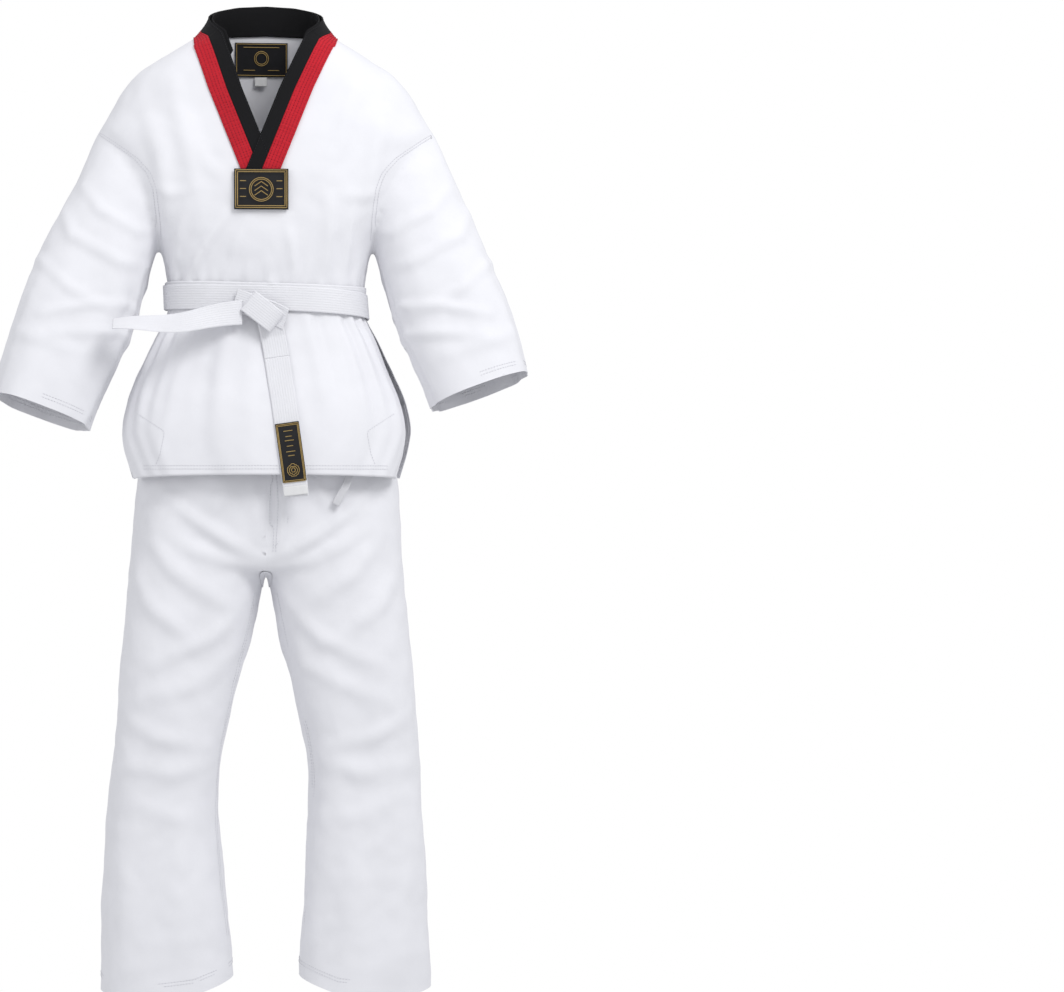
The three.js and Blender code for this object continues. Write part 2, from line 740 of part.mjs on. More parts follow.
// ---- Drawstring: flat tape, whose ends leave the slots and hang under the jacket's skirt ----
function drawstring(points) {
  const path = new THREE.CatmullRomCurve3(points.map((p) => new THREE.Vector3(...p)));
  const section = new THREE.Shape();
  const [wide, thin] = [TAPE_SECTION.width / 2, TAPE_SECTION.thickness / 2];
  section.moveTo(wide, -thin / 2);
  section.lineTo(wide, thin / 2);
  section.lineTo(wide - 1, thin);
  section.lineTo(1 - wide, thin);
  section.lineTo(-wide, thin / 2);
  section.lineTo(-wide, -thin / 2);
  section.lineTo(1 - wide, -thin);
  section.lineTo(wide - 1, -thin);
  section.closePath();
  const steps = Math.ceil(path.getLength() / (TAPE_SECTION.width * 1.0));
  return solid(new THREE.ExtrudeGeometry(section, { steps, extrudePath: path, bevelEnabled: false }));
}
for (const [name, route] of Object.entries(DRAWSTRINGS))
  add(name, drawstring(route.map(([x, y, drop]) => [x, y, WAIST_TOP - drop])), TAPE);

const uniform = new THREE.Group();
pieces.position.z = -WAIST_TOP;
uniform.add(pieces);
export default uniform;
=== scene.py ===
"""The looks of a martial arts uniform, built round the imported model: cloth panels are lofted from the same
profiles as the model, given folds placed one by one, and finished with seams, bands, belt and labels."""
import math

import bmesh
import bpy
import numpy as np
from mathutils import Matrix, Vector, noise
from mathutils.bvhtree import BVHTree


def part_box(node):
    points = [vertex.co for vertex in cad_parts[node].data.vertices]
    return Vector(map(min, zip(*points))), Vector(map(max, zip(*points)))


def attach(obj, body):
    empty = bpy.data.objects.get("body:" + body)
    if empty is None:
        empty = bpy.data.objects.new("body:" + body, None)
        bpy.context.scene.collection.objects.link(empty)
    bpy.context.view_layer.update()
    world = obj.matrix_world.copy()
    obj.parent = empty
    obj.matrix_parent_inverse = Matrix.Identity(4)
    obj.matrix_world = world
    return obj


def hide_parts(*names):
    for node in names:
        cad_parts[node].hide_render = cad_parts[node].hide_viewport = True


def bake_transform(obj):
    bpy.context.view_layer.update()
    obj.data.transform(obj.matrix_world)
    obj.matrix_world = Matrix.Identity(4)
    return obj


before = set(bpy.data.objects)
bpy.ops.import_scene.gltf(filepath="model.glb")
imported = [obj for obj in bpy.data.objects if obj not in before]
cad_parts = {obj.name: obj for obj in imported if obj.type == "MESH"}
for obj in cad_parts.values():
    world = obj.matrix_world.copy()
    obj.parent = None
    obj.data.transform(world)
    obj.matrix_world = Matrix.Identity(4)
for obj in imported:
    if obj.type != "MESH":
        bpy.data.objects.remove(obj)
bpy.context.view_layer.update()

# ---- Driving sizes: millimetres, heights above the level of the trouser hems ----
WAIST_TOP = 1047
BOXINESS = 2.5
CENTRE = -8  # the jacket's middle line hangs a little to the wearer's right
JACKET = [(1000, 168, 111), (1030, 152, 106), (1085, 150, 105), (1120, 157, 112), (1150, 166, 118),
          (1223, 215, 119), (1279, 244, 113), (1314, 259, 107), (1341, 245, 101), (1403, 203, 90),
          (1449, 135, 80), (1465, 108, 76), (1480, 95, 73), (1530, 74, 68)]
SKIRT = [(770, 209, 136), (788, 211, 137), (860, 217, 135), (907, 208, 128), (938, 196, 121),
         (969, 182, 115), (1000, 168, 111), (1030, 152, 106), (1085, 150, 105)]
# The skirt's cloth hangs a little outside the model's skirt.
SKIRT_CLOTH = [(770, 211, 138), (788, 213, 139), (860, 219, 137), (907, 210, 130), (938, 198, 123),
               (969, 184, 117), (1000, 169, 113), (1030, 153.5, 108), (1085, 151.5, 106.5)]
SEAT = [(642, 203, 84), (660, 208, 95), (720, 206, 105), (783, 200, 108), (860, 190, 106),
        (900, 177, 102), (940, 162, 97), (985, 147, 94), (1007, 143, 94), (1047, 143, 94)]
LEG = [(-30, 49, 255, 90), (39, 52, 254, 88), (163, 62, 249, 82), (287, 70, 241, 78), (349, 66, 235, 80),
       (411, 56, 230, 83), (473, 43, 228, 86), (535, 27, 223, 90), (600, 14, 217, 93), (640, 5, 213, 95),
       (740, 12, 200, 96)]
SLEEVE = [(-60, 73, 60, 66), (0, 76, 74, 76), (60, 79, 76, 80), (112, 83, 78, 82), (213, 88, 85, 81),
          (300, 84, 77, 76), (400, 72, 73, 72)]
SHOULDER = np.array([215.0, 0.0, 1232.0])
SLEEVE_LENGTH = {1: 336, -1: 372}
SLEEVE_ANGLE, SLEEVE_FORWARD = math.radians(20), math.radians(8)
SEAM = [(1120, 167), (1180, 169), (1225, 174), (1250, 184), (1274, 205), (1300, 241), (1318, 266)]
SKIRT_HEM = 788
BELT_WIDTH = 38
V_BOTTOM, V_RISE, V_HALF = 1249, 218, 85  # the neck's V: its bottom, its height and half its width at the top
JACKET_LOW = 1046  # where the jacket's panels end, under the belt
WAIST_CUT = 1006  # where the trousers' panels end, in the casing
HANDS = ((1, "left"), (-1, "right"))
FACES = ((-1, "front"), (1, "back"))

# ---- Thicknesses and mesh sizes, in metres ----
CLOTH, BELT_CLOTH = 0.0011, 0.0028
VOXEL = 0.0055


def metres(points):
    """Millimetres above the hems to the frame's metres."""
    p = np.asarray(points, float) - [0, 0, WAIST_TOP]
    return p / 1000


def height_of(points):
    """The frame's metres back to millimetres above the hems."""
    return points[:, 2] * 1000 + WAIST_TOP


def hermite(table, h):
    """Smooth rows of a table at heights h."""
    t = np.asarray(table, float)
    x, h = t[:, 0], np.clip(np.asarray(h, float), t[0, 0], t[-1, 0])
    slope = np.gradient(t[:, 1:], x, axis=0)
    k = np.clip(np.searchsorted(x, h) - 1, 0, len(x) - 2)
    w = x[k + 1] - x[k]
    s = ((h - x[k]) / w)[..., None]
    w = w[..., None]
    a, b = t[k, 1:], t[k + 1, 1:]
    return ((2 * s**3 - 3 * s**2 + 1) * a + (s**3 - 2 * s**2 + s) * w * slope[k]
            + (3 * s**2 - 2 * s**3) * b + (s**3 - s**2) * w * slope[k + 1])


def power(v):
    return np.sign(v) * np.abs(v) ** (2 / BOXINESS)


def on_profile(table, angle, h, outset=0.0):
    """Points of an upright profile: angle 0 is the wearer's left, -90 degrees the front."""
    angle, h = np.broadcast_arrays(np.asarray(angle, float), np.asarray(h, float))
    ab = hermite(table, h)
    return np.stack([(ab[..., 0] + outset) * power(np.cos(angle)),
                     (ab[..., 1] + outset) * power(np.sin(angle)), h], -1)


def angle_at(table, x, h, side):
    """The angle of a profile's point at x, on its front (-1) or back (1)."""
    a = hermite(table, h)[..., 0]
    c = np.clip(np.abs(x) / a, 0, 0.9999) ** (BOXINESS / 2)
    angle = np.arccos(c)
    angle = np.where(np.asarray(x) < 0, math.pi - angle, angle)
    return side * angle


# ---- Mesh building ----
def mesh_object(name, points, faces):
    mesh = bpy.data.meshes.new(name)
    mesh.from_pydata([tuple(p) for p in points], [], faces)
    mesh.validate()
    mesh.update()
    mesh.shade_smooth()
    obj = bpy.data.objects.new(name, mesh)
    bpy.context.scene.collection.objects.link(obj)
    return obj


def grid_object(name, grid, wrap=False):
    """A mesh over rows and columns of points in metres; wrap joins the last column to the first."""
    rows, cols = grid.shape[:2]
    faces = []
    for i in range(rows - 1):
        for j in range(cols if wrap else cols - 1):
            k = (j + 1) % cols
            faces.append((i * cols + j, i * cols + k, (i + 1) * cols + k, (i + 1) * cols + j))
    return mesh_object(name, grid.reshape(-1, 3), faces)


def point_values(obj, key):
    values = np.empty(len(obj.data.vertices) * 3)
    obj.data.vertices.foreach_get(key, values)
    return values.reshape(-1, 3)


def coordinates(obj):
    return point_values(obj, "co")


def normals(obj):
    return point_values(obj, "normal")


def set_coordinates(obj, co):
    obj.data.vertices.foreach_set("co", np.asarray(co, float).ravel())
    obj.data.update()


def bake(obj):
    """Applies every modifier."""
    graph = bpy.context.evaluated_depsgraph_get()
    mesh = bpy.data.meshes.new_from_object(obj.evaluated_get(graph))
    obj.modifiers.clear()
    old = obj.data
    obj.data = mesh
    bpy.data.meshes.remove(old)
    return obj


def thicken(obj, thickness):
    mod = obj.modifiers.new("thickness", "SOLIDIFY")
    mod.thickness = thickness
    mod.offset = 0.0
    mod.use_even_offset = False
    bake(obj)
    return obj


def note_normals(obj):
    """Keeps a garment's normals on its points, so that panels cut from it thicken the same way."""
    kept = obj.data.attributes.new("whole", "FLOAT_VECTOR", "POINT")
    kept.data.foreach_set("vector", normals(obj).ravel())


def thicken_panel(obj, thickness):
    """Gives a cut panel its thickness along the whole garment's normals, with sharp cut edges."""
    mesh = obj.data
    n = np.empty(len(mesh.vertices) * 3)
    mesh.attributes["whole"].data.foreach_get("vector", n)
    n, co = n.reshape(-1, 3), coordinates(obj)
    count = len(co)
    outer = [tuple(f.vertices) for f in mesh.polygons]
    used = dict.fromkeys((a, b) for f in outer for a, b in zip(f, f[1:] + f[:1]))
    border = [(a, b) for a, b in used if (b, a) not in used]
    rim = [(b, a, a + count, b + count) for a, b in border]
    faces = outer + [tuple(k + count for k in reversed(f)) for f in outer] + rim
    new = bpy.data.meshes.new(obj.name)
    points = np.concatenate([co + n * thickness / 2, co - n * thickness / 2])
    new.from_pydata([tuple(v) for v in points], [], faces)
    new.update()
    new.shade_smooth()
    sharp = {frozenset((a + k, b + k)) for a, b in border for k in (0, count)}
    for edge in new.edges:
        edge.use_edge_sharp = frozenset(edge.vertices) in sharp
    obj.data = new
    bpy.data.meshes.remove(mesh)
    outward(obj)


def closed_loft(name, rings):
    """A closed mesh through rings of points in millimetres."""
    count, sides = rings.shape[:2]
    faces = [(i * sides + j, i * sides + (j + 1) % sides, (i + 1) * sides + (j + 1) % sides,
              (i + 1) * sides + j) for i in range(count - 1) for j in range(sides)]
    faces.append(tuple(reversed(range(sides))))
    faces.append(tuple((count - 1) * sides + j for j in range(sides)))
    obj = mesh_object(name, metres(rings.reshape(-1, 3)), faces)
    outward(obj)
    return obj


def outward(obj):
    bm = bmesh.new()
    bm.from_mesh(obj.data)
    bmesh.ops.recalc_face_normals(bm, faces=bm.faces)
    bm.to_mesh(obj.data)
    bm.free()


def merged(name, parts, voxel):
    """One even mesh over the union of closed parts."""
    bm = bmesh.new()
    for part in parts:
        bm.from_mesh(part.data)
        bpy.data.objects.remove(part)
    mesh = bpy.data.meshes.new(name)
    bm.to_mesh(mesh)
    bm.free()
    obj = bpy.data.objects.new(name, mesh)
    bpy.context.scene.collection.objects.link(obj)
    mod = obj.modifiers.new("remesh", "REMESH")
    mod.mode = "VOXEL"
    mod.voxel_size = voxel
    bake(obj)
    obj.data.shade_smooth()
    return obj


def relax(obj, times):
    """Evens out a mesh by moving each point towards its neighbours' middle."""
    co = coordinates(obj)
    e = np.empty(len(obj.data.edges) * 2, int)
    obj.data.edges.foreach_get("vertices", e)
    e = e.reshape(-1, 2)
    count = np.bincount(e.ravel(), minlength=len(co))[:, None]
    for _ in range(times):
        total = np.zeros_like(co)
        np.add.at(total, e[:, 0], co[e[:, 1]])
        np.add.at(total, e[:, 1], co[e[:, 0]])
        co = 0.5 * co + 0.5 * total / np.maximum(count, 1)
    set_coordinates(obj, co)


def cut(obj, point, normal, where):
    """Cuts off what lies beyond a plane, on its normal's side, among the faces whose middle passes a test."""
    bm = bmesh.new()
    bm.from_mesh(obj.data)
    geom = [f for f in bm.faces if where(f.calc_center_median())]
    edges = {e for f in geom for e in f.edges}
    verts = {v for f in geom for v in f.verts}
    bmesh.ops.bisect_plane(bm, geom=list(geom) + list(edges) + list(verts), plane_co=point,
                           plane_no=normal, clear_outer=True)
    bm.to_mesh(obj.data)
    bm.free()
    obj.data.shade_smooth()


def part_of(obj, name, chosen):
    """A copy of the faces of obj whose middle passes the test."""
    bm = bmesh.new()
    bm.from_mesh(obj.data)
    centres = np.array([f.calc_center_median() for f in bm.faces])
    inside = chosen(centres)
    left_out = [f for f, keep in zip(list(bm.faces), inside) if not keep]
    bmesh.ops.delete(bm, geom=left_out, context="FACES")
    mesh = bpy.data.meshes.new(name)
    bm.to_mesh(mesh)
    bm.free()
    mesh.shade_smooth()
    new = bpy.data.objects.new(name, mesh)
    bpy.context.scene.collection.objects.link(new)
    return new


# ---- The camera, first ----
camera = bpy.data.objects.new("camera", bpy.data.cameras.new("camera"))
bpy.context.scene.collection.objects.link(camera)
CAMERA_DISTANCE, CAMERA_HEIGHT, FRAME_WIDTH = 5.5, 758, 1.649
SENSOR_WIDTH = 36
YAW = math.radians(4.3)  # turns the view so that the uniform stands in its left half
camera.location = (0, -CAMERA_DISTANCE, (CAMERA_HEIGHT - WAIST_TOP) / 1000)
camera.rotation_euler = (math.pi / 2, 0, -YAW)
camera.data.sensor_width = SENSOR_WIDTH
camera.data.lens = SENSOR_WIDTH * CAMERA_DISTANCE * math.cos(YAW) / FRAME_WIDTH
bpy.context.scene.camera = camera


# ---- Materials ----
def material(name, colour, roughness, build=None, sheen=0.0):
    mat = bpy.data.materials.new(name)
    mat.use_nodes = True
    tree = mat.node_tree
    shader = tree.nodes["Principled BSDF"]
    shader.inputs["Base Color"].default_value = (*colour, 1)
    shader.inputs["Roughness"].default_value = roughness
    shader.inputs["Sheen Weight"].default_value = sheen
    shader.inputs["Specular IOR Level"].default_value = 0.25
    if build:
        build(tree, shader)
    return mat


def node(tree, kind, **values):
    n = tree.nodes.new(kind)
    for key, value in values.items():
        if key in n.inputs:
            n.inputs[key].default_value = value
        else:
            setattr(n, key, value)
    return n


def weave(scale, strength, tint=0.06, crease=0.0):
    """Threads crossing at the given count per metre, with soft patches of tone."""
    def build(tree, shader):
        link = tree.links.new
        where = node(tree, "ShaderNodeTexCoord")
        waves = []
        for direction in ("X", "Z"):
            w = node(tree, "ShaderNodeTexWave", Scale=scale, Distortion=0.6, wave_type="BANDS",
                     bands_direction=direction)
            w.inputs["Detail"].default_value = 1
            link(where.outputs["Object"], w.inputs["Vector"])
            waves.append(w)
        both = node(tree, "ShaderNodeMath", operation="MULTIPLY")
        link(waves[0].outputs["Fac"], both.inputs[0])
        link(waves[1].outputs["Fac"], both.inputs[1])
        soft = node(tree, "ShaderNodeTexNoise", Scale=900.0, Detail=3.0)
        link(where.outputs["Object"], soft.inputs["Vector"])
        total = node(tree, "ShaderNodeMath", operation="ADD")
        link(both.outputs[0], total.inputs[0])
        link(soft.outputs["Fac"], total.inputs[1])
        bump = node(tree, "ShaderNodeBump", Strength=strength, Distance=0.0004)
        link(total.outputs[0], bump.inputs["Height"])
        last = bump
        if crease:
            rumple = node(tree, "ShaderNodeTexNoise", Scale=26.0, Detail=5.0, Roughness=0.55)
            link(where.outputs["Object"], rumple.inputs["Vector"])
            second = node(tree, "ShaderNodeBump", Strength=crease, Distance=0.004)
            link(rumple.outputs["Fac"], second.inputs["Height"])
            link(bump.outputs["Normal"], second.inputs["Normal"])
            last = second
        link(last.outputs["Normal"], shader.inputs["Normal"])
        patch = node(tree, "ShaderNodeTexNoise", Scale=14.0, Detail=4.0)
        link(where.outputs["Object"], patch.inputs["Vector"])
        base = shader.inputs["Base Color"].default_value[:3]
        ramp = node(tree, "ShaderNodeValToRGB")
        ramp.color_ramp.elements[0].position, ramp.color_ramp.elements[1].position = 0.3, 0.7
        ramp.color_ramp.elements[0].color = (*[c * (1 - tint) for c in base], 1)
        ramp.color_ramp.elements[1].color = (*[min(1, c * (1 + tint / 3)) for c in base], 1)
        link(patch.outputs["Fac"], ramp.inputs["Fac"])
        link(ramp.outputs["Color"], shader.inputs["Base Color"])
    return build


canvas = material("canvas", (0.80, 0.80, 0.83), 0.9, weave(420, 0.25, 0.03, 0.12), sheen=0.15)
thread_white = material("thread_white", (0.70, 0.70, 0.74), 0.7, weave(1500, 0.3))
belt_cotton = material("belt_cotton", (0.80, 0.80, 0.83), 0.88, weave(620, 0.45, 0.05), sheen=0.12)
black_cotton = material("black_cotton", (0.0045, 0.0045, 0.0055), 0.85, weave(700, 0.5, 0.25), sheen=0.01)
thread_black = material("thread_black", (0.022, 0.022, 0.026), 0.55, weave(1500, 0.3))
red_cotton = material("red_cotton", (0.56, 0.013, 0.026), 0.75, weave(700, 0.5, 0.15), sheen=0.03)
thread_red = material("thread_red", (0.30, 0.008, 0.03), 0.6, weave(1500, 0.3))
label_black = material("label_black", (0.014, 0.014, 0.016), 0.55, weave(1300, 0.5, 0.2))
gold_thread = material("gold_thread", (0.52, 0.36, 0.13), 0.45, weave(1600, 0.6, 0.25))
label_white = material("label_white", (0.78, 0.78, 0.78), 0.6, weave(1300, 0.4))
print_ink = material("print_ink", (0.02, 0.02, 0.025), 0.6, weave(500, 0.2))
elastic_mat = material("elastic", (0.72, 0.72, 0.70), 0.8, weave(600, 0.7, 0.08))
tape_mat = material("tape", (0.80, 0.80, 0.83), 0.75, weave(900, 0.7, 0.04))


def finish_piece(obj, mat, body=None, blend=None, replaces=()):
    obj.data.materials.clear()
    obj.data.materials.append(mat)
    if blend:
        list(blend)
        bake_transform(obj)
    else:
        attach(obj, body)
    if replaces:
        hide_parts(*replaces)
    return obj


# Bodies and points of each joint that cloth crosses, where a turn from one body to the next would start and
# end; finish_piece does not use them and only bakes such pieces in place.
def at_height(x, y, h):
    return tuple(metres([x, y, h]))


LEG_BLEND = {s: ("trousers", b, at_height(0, 0, 640), at_height(0, 0, 420))
             for s, b in ((1, "left_leg"), (-1, "right_leg"))}
SKIRT_BLEND = {s: ("jacket", b, at_height(0, 0, 1035), at_height(0, 0, 905))
               for s, b in ((-1, "front_skirt"), (1, "back_skirt"))}
SEAM_NORMAL = np.array([0.861, 0, -0.509])
SLEEVE_BLEND = {}
for s, b in ((1, "left_sleeve"), (-1, "right_sleeve")):
    flip = np.array([s, 1, 1])
    SLEEVE_BLEND[s] = ("jacket", b, tuple(metres((SHOULDER + SEAM_NORMAL * 14) * flip)),
                       tuple(metres((SHOULDER + SEAM_NORMAL * 150) * flip)))

# ---- Sleeve and body shapes ----
ALONG = np.array([math.sin(SLEEVE_ANGLE) * math.cos(SLEEVE_FORWARD), -math.sin(SLEEVE_FORWARD),
                  -math.cos(SLEEVE_ANGLE) * math.cos(SLEEVE_FORWARD)])
OUTWARDS = np.array([math.cos(SLEEVE_ANGLE), 0, math.sin(SLEEVE_ANGLE)])
DEEP = np.cross(ALONG, OUTWARDS)


def sleeve_points(t, angle, side):
    """Points of a sleeve's surface: t along it, angle 0 outwards."""
    t, angle = np.broadcast_arrays(np.asarray(t, float), np.asarray(angle, float))
    row = hermite(SLEEVE, t)
    centre = SHOULDER + t[..., None] * ALONG + ((row[..., :1] - row[..., 1:2]) / 2) * OUTWARDS
    p = (centre + (row[..., :1] + row[..., 1:2]) / 2 * power(np.cos(angle))[..., None] * OUTWARDS
         + row[..., 2:3] * power(np.sin(angle))[..., None] * DEEP)
    return p * [side, 1, 1]


def leg_points(h, angle, side):
    """Points of a trouser leg's surface: angle 0 is the wearer's left, -90 degrees the front."""
    h, angle = np.broadcast_arrays(np.asarray(h, float), np.asarray(angle, float))
    row = hermite(LEG, h)
    return np.stack([side * (row[..., 0] + row[..., 1]) / 2
                     + (row[..., 1] - row[..., 0]) / 2 * power(np.cos(angle)),
                     row[..., 2] * power(np.sin(angle)), h], -1)


RING = np.linspace(0, 2 * math.pi, 96, endpoint=False)


def body_union(name, low, high, voxel):
    heights = np.arange(low, high + 1, 10.0)
    parts = [closed_loft("t", on_profile(JACKET, RING[None], heights[:, None]))]
    for side in (1, -1):
        t = np.arange(-60, SLEEVE_LENGTH[side] + 25, 10.0)
        parts.append(closed_loft("s", sleeve_points(t[:, None], RING[None], side)))
    return merged(name, parts, voxel)


def trouser_union(name, voxel):
    heights = np.arange(642, 1048, 10.0)
    parts = [closed_loft("p", on_profile(SEAT, RING[None], heights[:, None]))]
    for side in (1, -1):
        t = np.arange(-30, 741, 12.0)
        parts.append(closed_loft("l", leg_points(t[:, None], RING[None], side)))
    return merged(name, parts, voxel)


# ---- Folds ----
def ridges(points, folds):
    """The height at each point of soft folds, each a polyline with a width and a height at its middle."""
    total = np.zeros(len(points))
    for line, width, height in folds:
        line = metres(line)
        best, along = np.full(len(points), np.inf), np.zeros(len(points))
        steps = np.linalg.norm(np.diff(line, axis=0), axis=1)
        start = np.concatenate([[0], np.cumsum(steps)])
        for k, (a, b) in enumerate(zip(line[:-1], line[1:])):
            t = np.clip(((points - a) @ (b - a)) / ((b - a) @ (b - a)), 0, 1)
            d = np.linalg.norm(points - a - t[:, None] * (b - a), axis=1)
            near = d < best
            best = np.where(near, d, best)
            along = np.where(near, start[k] + t * steps[k], along)
        s = along / start[-1]
        fade = np.sin(math.pi * np.clip(0.12 + 0.76 * s, 0, 1)) ** 1.2
        q = (best / (width / 1000)) ** 2
        total += height / 1000 * fade * (1.25 * np.exp(-q) - 0.42 * np.exp(-q / 4.5))
    return total


def noise_at(points, scale, seed):
    shift = Vector((seed * 7.3, seed * 3.1, seed * 5.7))
    return np.array([noise.noise(Vector(p * scale) + shift) for p in points])


def soft_wrinkles(points, amount, seed, stretch=(1.0, 1.0, 0.45)):
    """Gentle unevenness of cloth, longer along the last axis given."""
    scaled = points * np.asarray(stretch)
    return amount / 1000 * (noise_at(scaled, 9, seed) + 0.55 * noise_at(scaled, 19, seed + 1)
                            + 0.22 * noise_at(points, 42, seed + 2))


def push(obj, heights):
    set_coordinates(obj, coordinates(obj) + normals(obj) * heights[:, None])


def on_face(table, x, h, side):
    """Points of a profile's front (-1) or back (1) at x."""
    return on_profile(table, angle_at(table, x, h, side), np.asarray(h, float))


def folds_on(table, side, *folds):
    """Folds given as x and height pairs on a profile's front or back."""
    return [(on_face(table, *np.array(line, float).T, side), width, height) for line, width, height in folds]


# ---- Cut lines ----
def snap_cut(obj, level):
    """Moves points next to a line onto it, so that most triangles lie on one side; level is its distance."""
    bm = bmesh.new()
    bm.from_mesh(obj.data)
    bmesh.ops.triangulate(bm, faces=bm.faces)
    bm.verts.ensure_lookup_table()
    co = np.array([v.co for v in bm.verts])
    value = level(co)
    best = {}
    for e in bm.edges:
        a, b = (v.index for v in e.verts)
        if value[a] * value[b] < 0:
            t = value[a] / (value[a] - value[b])
            where = co[a] + (co[b] - co[a]) * t
            near = a if t < 0.5 else b
            move = np.linalg.norm(co[near] - where)
            if near not in best or move < best[near][0]:
                best[near] = (move, where)
    for k, (_, where) in best.items():
        bm.verts[k].co = where
    bm.to_mesh(obj.data)
    bm.free()
    obj.data.update()


def seam_level(p):
    """How far a point lies beyond the shoulder seam, outwards."""
    h = height_of(p)
    line = np.array(SEAM, float)
    edge = np.interp(h, line[:, 0], line[:, 1])
    reach = (np.abs(p[:, 0]) * 1000 - edge) / 1000
    slope = np.gradient(line[:, 1], line[:, 0])
    return reach / np.sqrt(1 + np.interp(h, line[:, 0], slope) ** 2)


COLLAR_BACK = {"E0": (1490, 1503, 1514, 1522, 1525), "E1": (1470, 1482, 1493, 1501, 1503.5),
               "E2": (1461, 1465, 1468, 1474, 1476)}
COLLAR_SHIFT = {"E0": (-19.9, 8.2), "E1": (0, 0), "E2": (24, -9.9)}


def collar_edge(name, f_low, stations=70):
    """Angles and heights along one side of a collar line, from the V's bottom to the middle of the back."""
    f = np.linspace(f_low, 1, stations)
    dx, dh = COLLAR_SHIFT[name]
    x, h = V_HALF * f + dx, V_BOTTOM + V_RISE * f + dh
    half = hermite(JACKET, h)[..., 0]
    x = np.minimum(x, half * 0.86)
    angle = angle_at(JACKET, x, h, -1)
    angle = np.where(angle < -math.pi / 2 - 0.8, angle + 2 * math.pi, angle)
    back = np.radians([-20, 0, 30, 60, 90])
    heights = np.array(COLLAR_BACK[name], float)
    a = np.linspace(back[0], back[-1], 46)
    grid_a = np.concatenate([angle, a])
    grid_h = np.concatenate([h, np.interp(a, back, heights)])
    for _ in range(4):
        grid_h[1:-1] = (grid_h[:-2] + 2 * grid_h[1:-1] + grid_h[2:]) / 4
        grid_a[1:-1] = (grid_a[:-2] + 2 * grid_a[1:-1] + grid_a[2:]) / 4
    return grid_a, grid_h


def centre_at(h):
    """The jacket's middle line, which comes back to the middle behind the neck."""
    return CENTRE * np.clip((1500 - h) / 120, 0, 1)


def collar_points(name, f_low, side):
    a, h = collar_edge(name, f_low)
    p = on_profile(JACKET, a, h)
    p[:, 0] *= side
    p[:, 0] += centre_at(h)
    return p


def neck_level(p):
    """Positive inside the neck's opening, cut under the middle of the red band."""
    h = height_of(p)
    x = np.abs(p[:, 0] * 1000 - centre_at(h))
    front = (h - V_BOTTOM + 9) / V_RISE * V_HALF - x - 1
    angle = np.arctan2(p[:, 1] * 1000 / 73, x / 95)
    back = h - np.interp(angle, np.radians([-60, -20, 0, 30, 60, 90]), [1461, 1466, 1476, 1484, 1491, 1493])
    front = front * (1 / math.hypot(1, V_HALF / V_RISE))
    return np.where(angle < -0.6, front, back) / 1000


# ---- Jacket cloth ----
shell = body_union("jacket_shell", 1030, 1530, VOXEL)
relax(shell, 5)
cut(shell, at_height(0, 0, JACKET_LOW), (0, 0, -1), lambda c: abs(c[0]) < 0.185 - max(0, c[2] + 0.01) * 0.2)
for side in (1, -1):
    cuff = metres((SHOULDER + ALONG * SLEEVE_LENGTH[side]) * [side, 1, 1])
    cut(shell, tuple(cuff), tuple(ALONG * [side, 1, 1]), lambda c: c[2] < 0.12 and abs(c[0]) > 0.2)

FRONT_FOLDS = folds_on(
    JACKET, -1,
    # from the patch to the belt at the wearer's right, the long pull that the tied belt makes
    ([(-58, 1186), (-78, 1160), (-98, 1128), (-116, 1090), (-122, 1060)], 9, 5.0),
    ([(-30, 1178), (-44, 1140), (-56, 1100), (-60, 1062)], 8, 2.6),
    ([(-120, 1200), (-132, 1150), (-140, 1100), (-136, 1064)], 10, 3.4),
    ([(30, 1180), (38, 1140), (44, 1100), (44, 1064)], 8, 2.8),
    ([(96, 1210), (96, 1160), (92, 1110), (88, 1064)], 11, 3.8),
    ([(134, 1200), (126, 1150), (120, 1100), (118, 1064)], 8, 3.2),
    ([(0, 1130), (2, 1100), (4, 1064)], 6, 1.8),
    # from the shoulders and armpits towards the middle
    ([(-178, 1330), (-160, 1270), (-150, 1215), (-148, 1160)], 15, 4.4),
    ([(180, 1340), (166, 1280), (156, 1220), (150, 1160)], 14, 4.0),
    ([(-150, 1400), (-128, 1330), (-112, 1262), (-106, 1216)], 16, 3.0),
    ([(140, 1400), (122, 1330), (104, 1270), (86, 1222)], 15, 2.8),
    ([(-172, 1228), (-142, 1218), (-110, 1222)], 10, 2.2),
    ([(172, 1226), (146, 1214), (112, 1216)], 10, 2.2),
    ([(-60, 1240), (-86, 1258), (-104, 1290)], 12, 1.8),
    ([(58, 1244), (84, 1262), (98, 1296)], 12, 1.6),
)
BACK_FOLDS = folds_on(
    JACKET, 1,
    ([(-30, 1180), (-34, 1120), (-36, 1064)], 8, 2.6), ([(26, 1190), (30, 1120), (32, 1064)], 9, 3.0),
    ([(-86, 1210), (-84, 1130), (-80, 1064)], 11, 3.6), ([(90, 1220), (88, 1140), (82, 1064)], 10, 3.4),
    ([(-130, 1200), (-128, 1130), (-122, 1064)], 9, 3.0), ([(132, 1200), (128, 1130), (122, 1064)], 9, 3.0),
    ([(-170, 1330), (-156, 1250), (-148, 1170)], 15, 4.2), ([(170, 1330), (158, 1250), (150, 1170)], 15, 4.4),
    ([(-60, 1290), (-20, 1270), (30, 1272), (70, 1296)], 22, 2.2),
    ([(-150, 1400), (-120, 1350), (-80, 1310)], 16, 2.4), ([(150, 1400), (122, 1350), (84, 1312)], 16, 2.4),
)


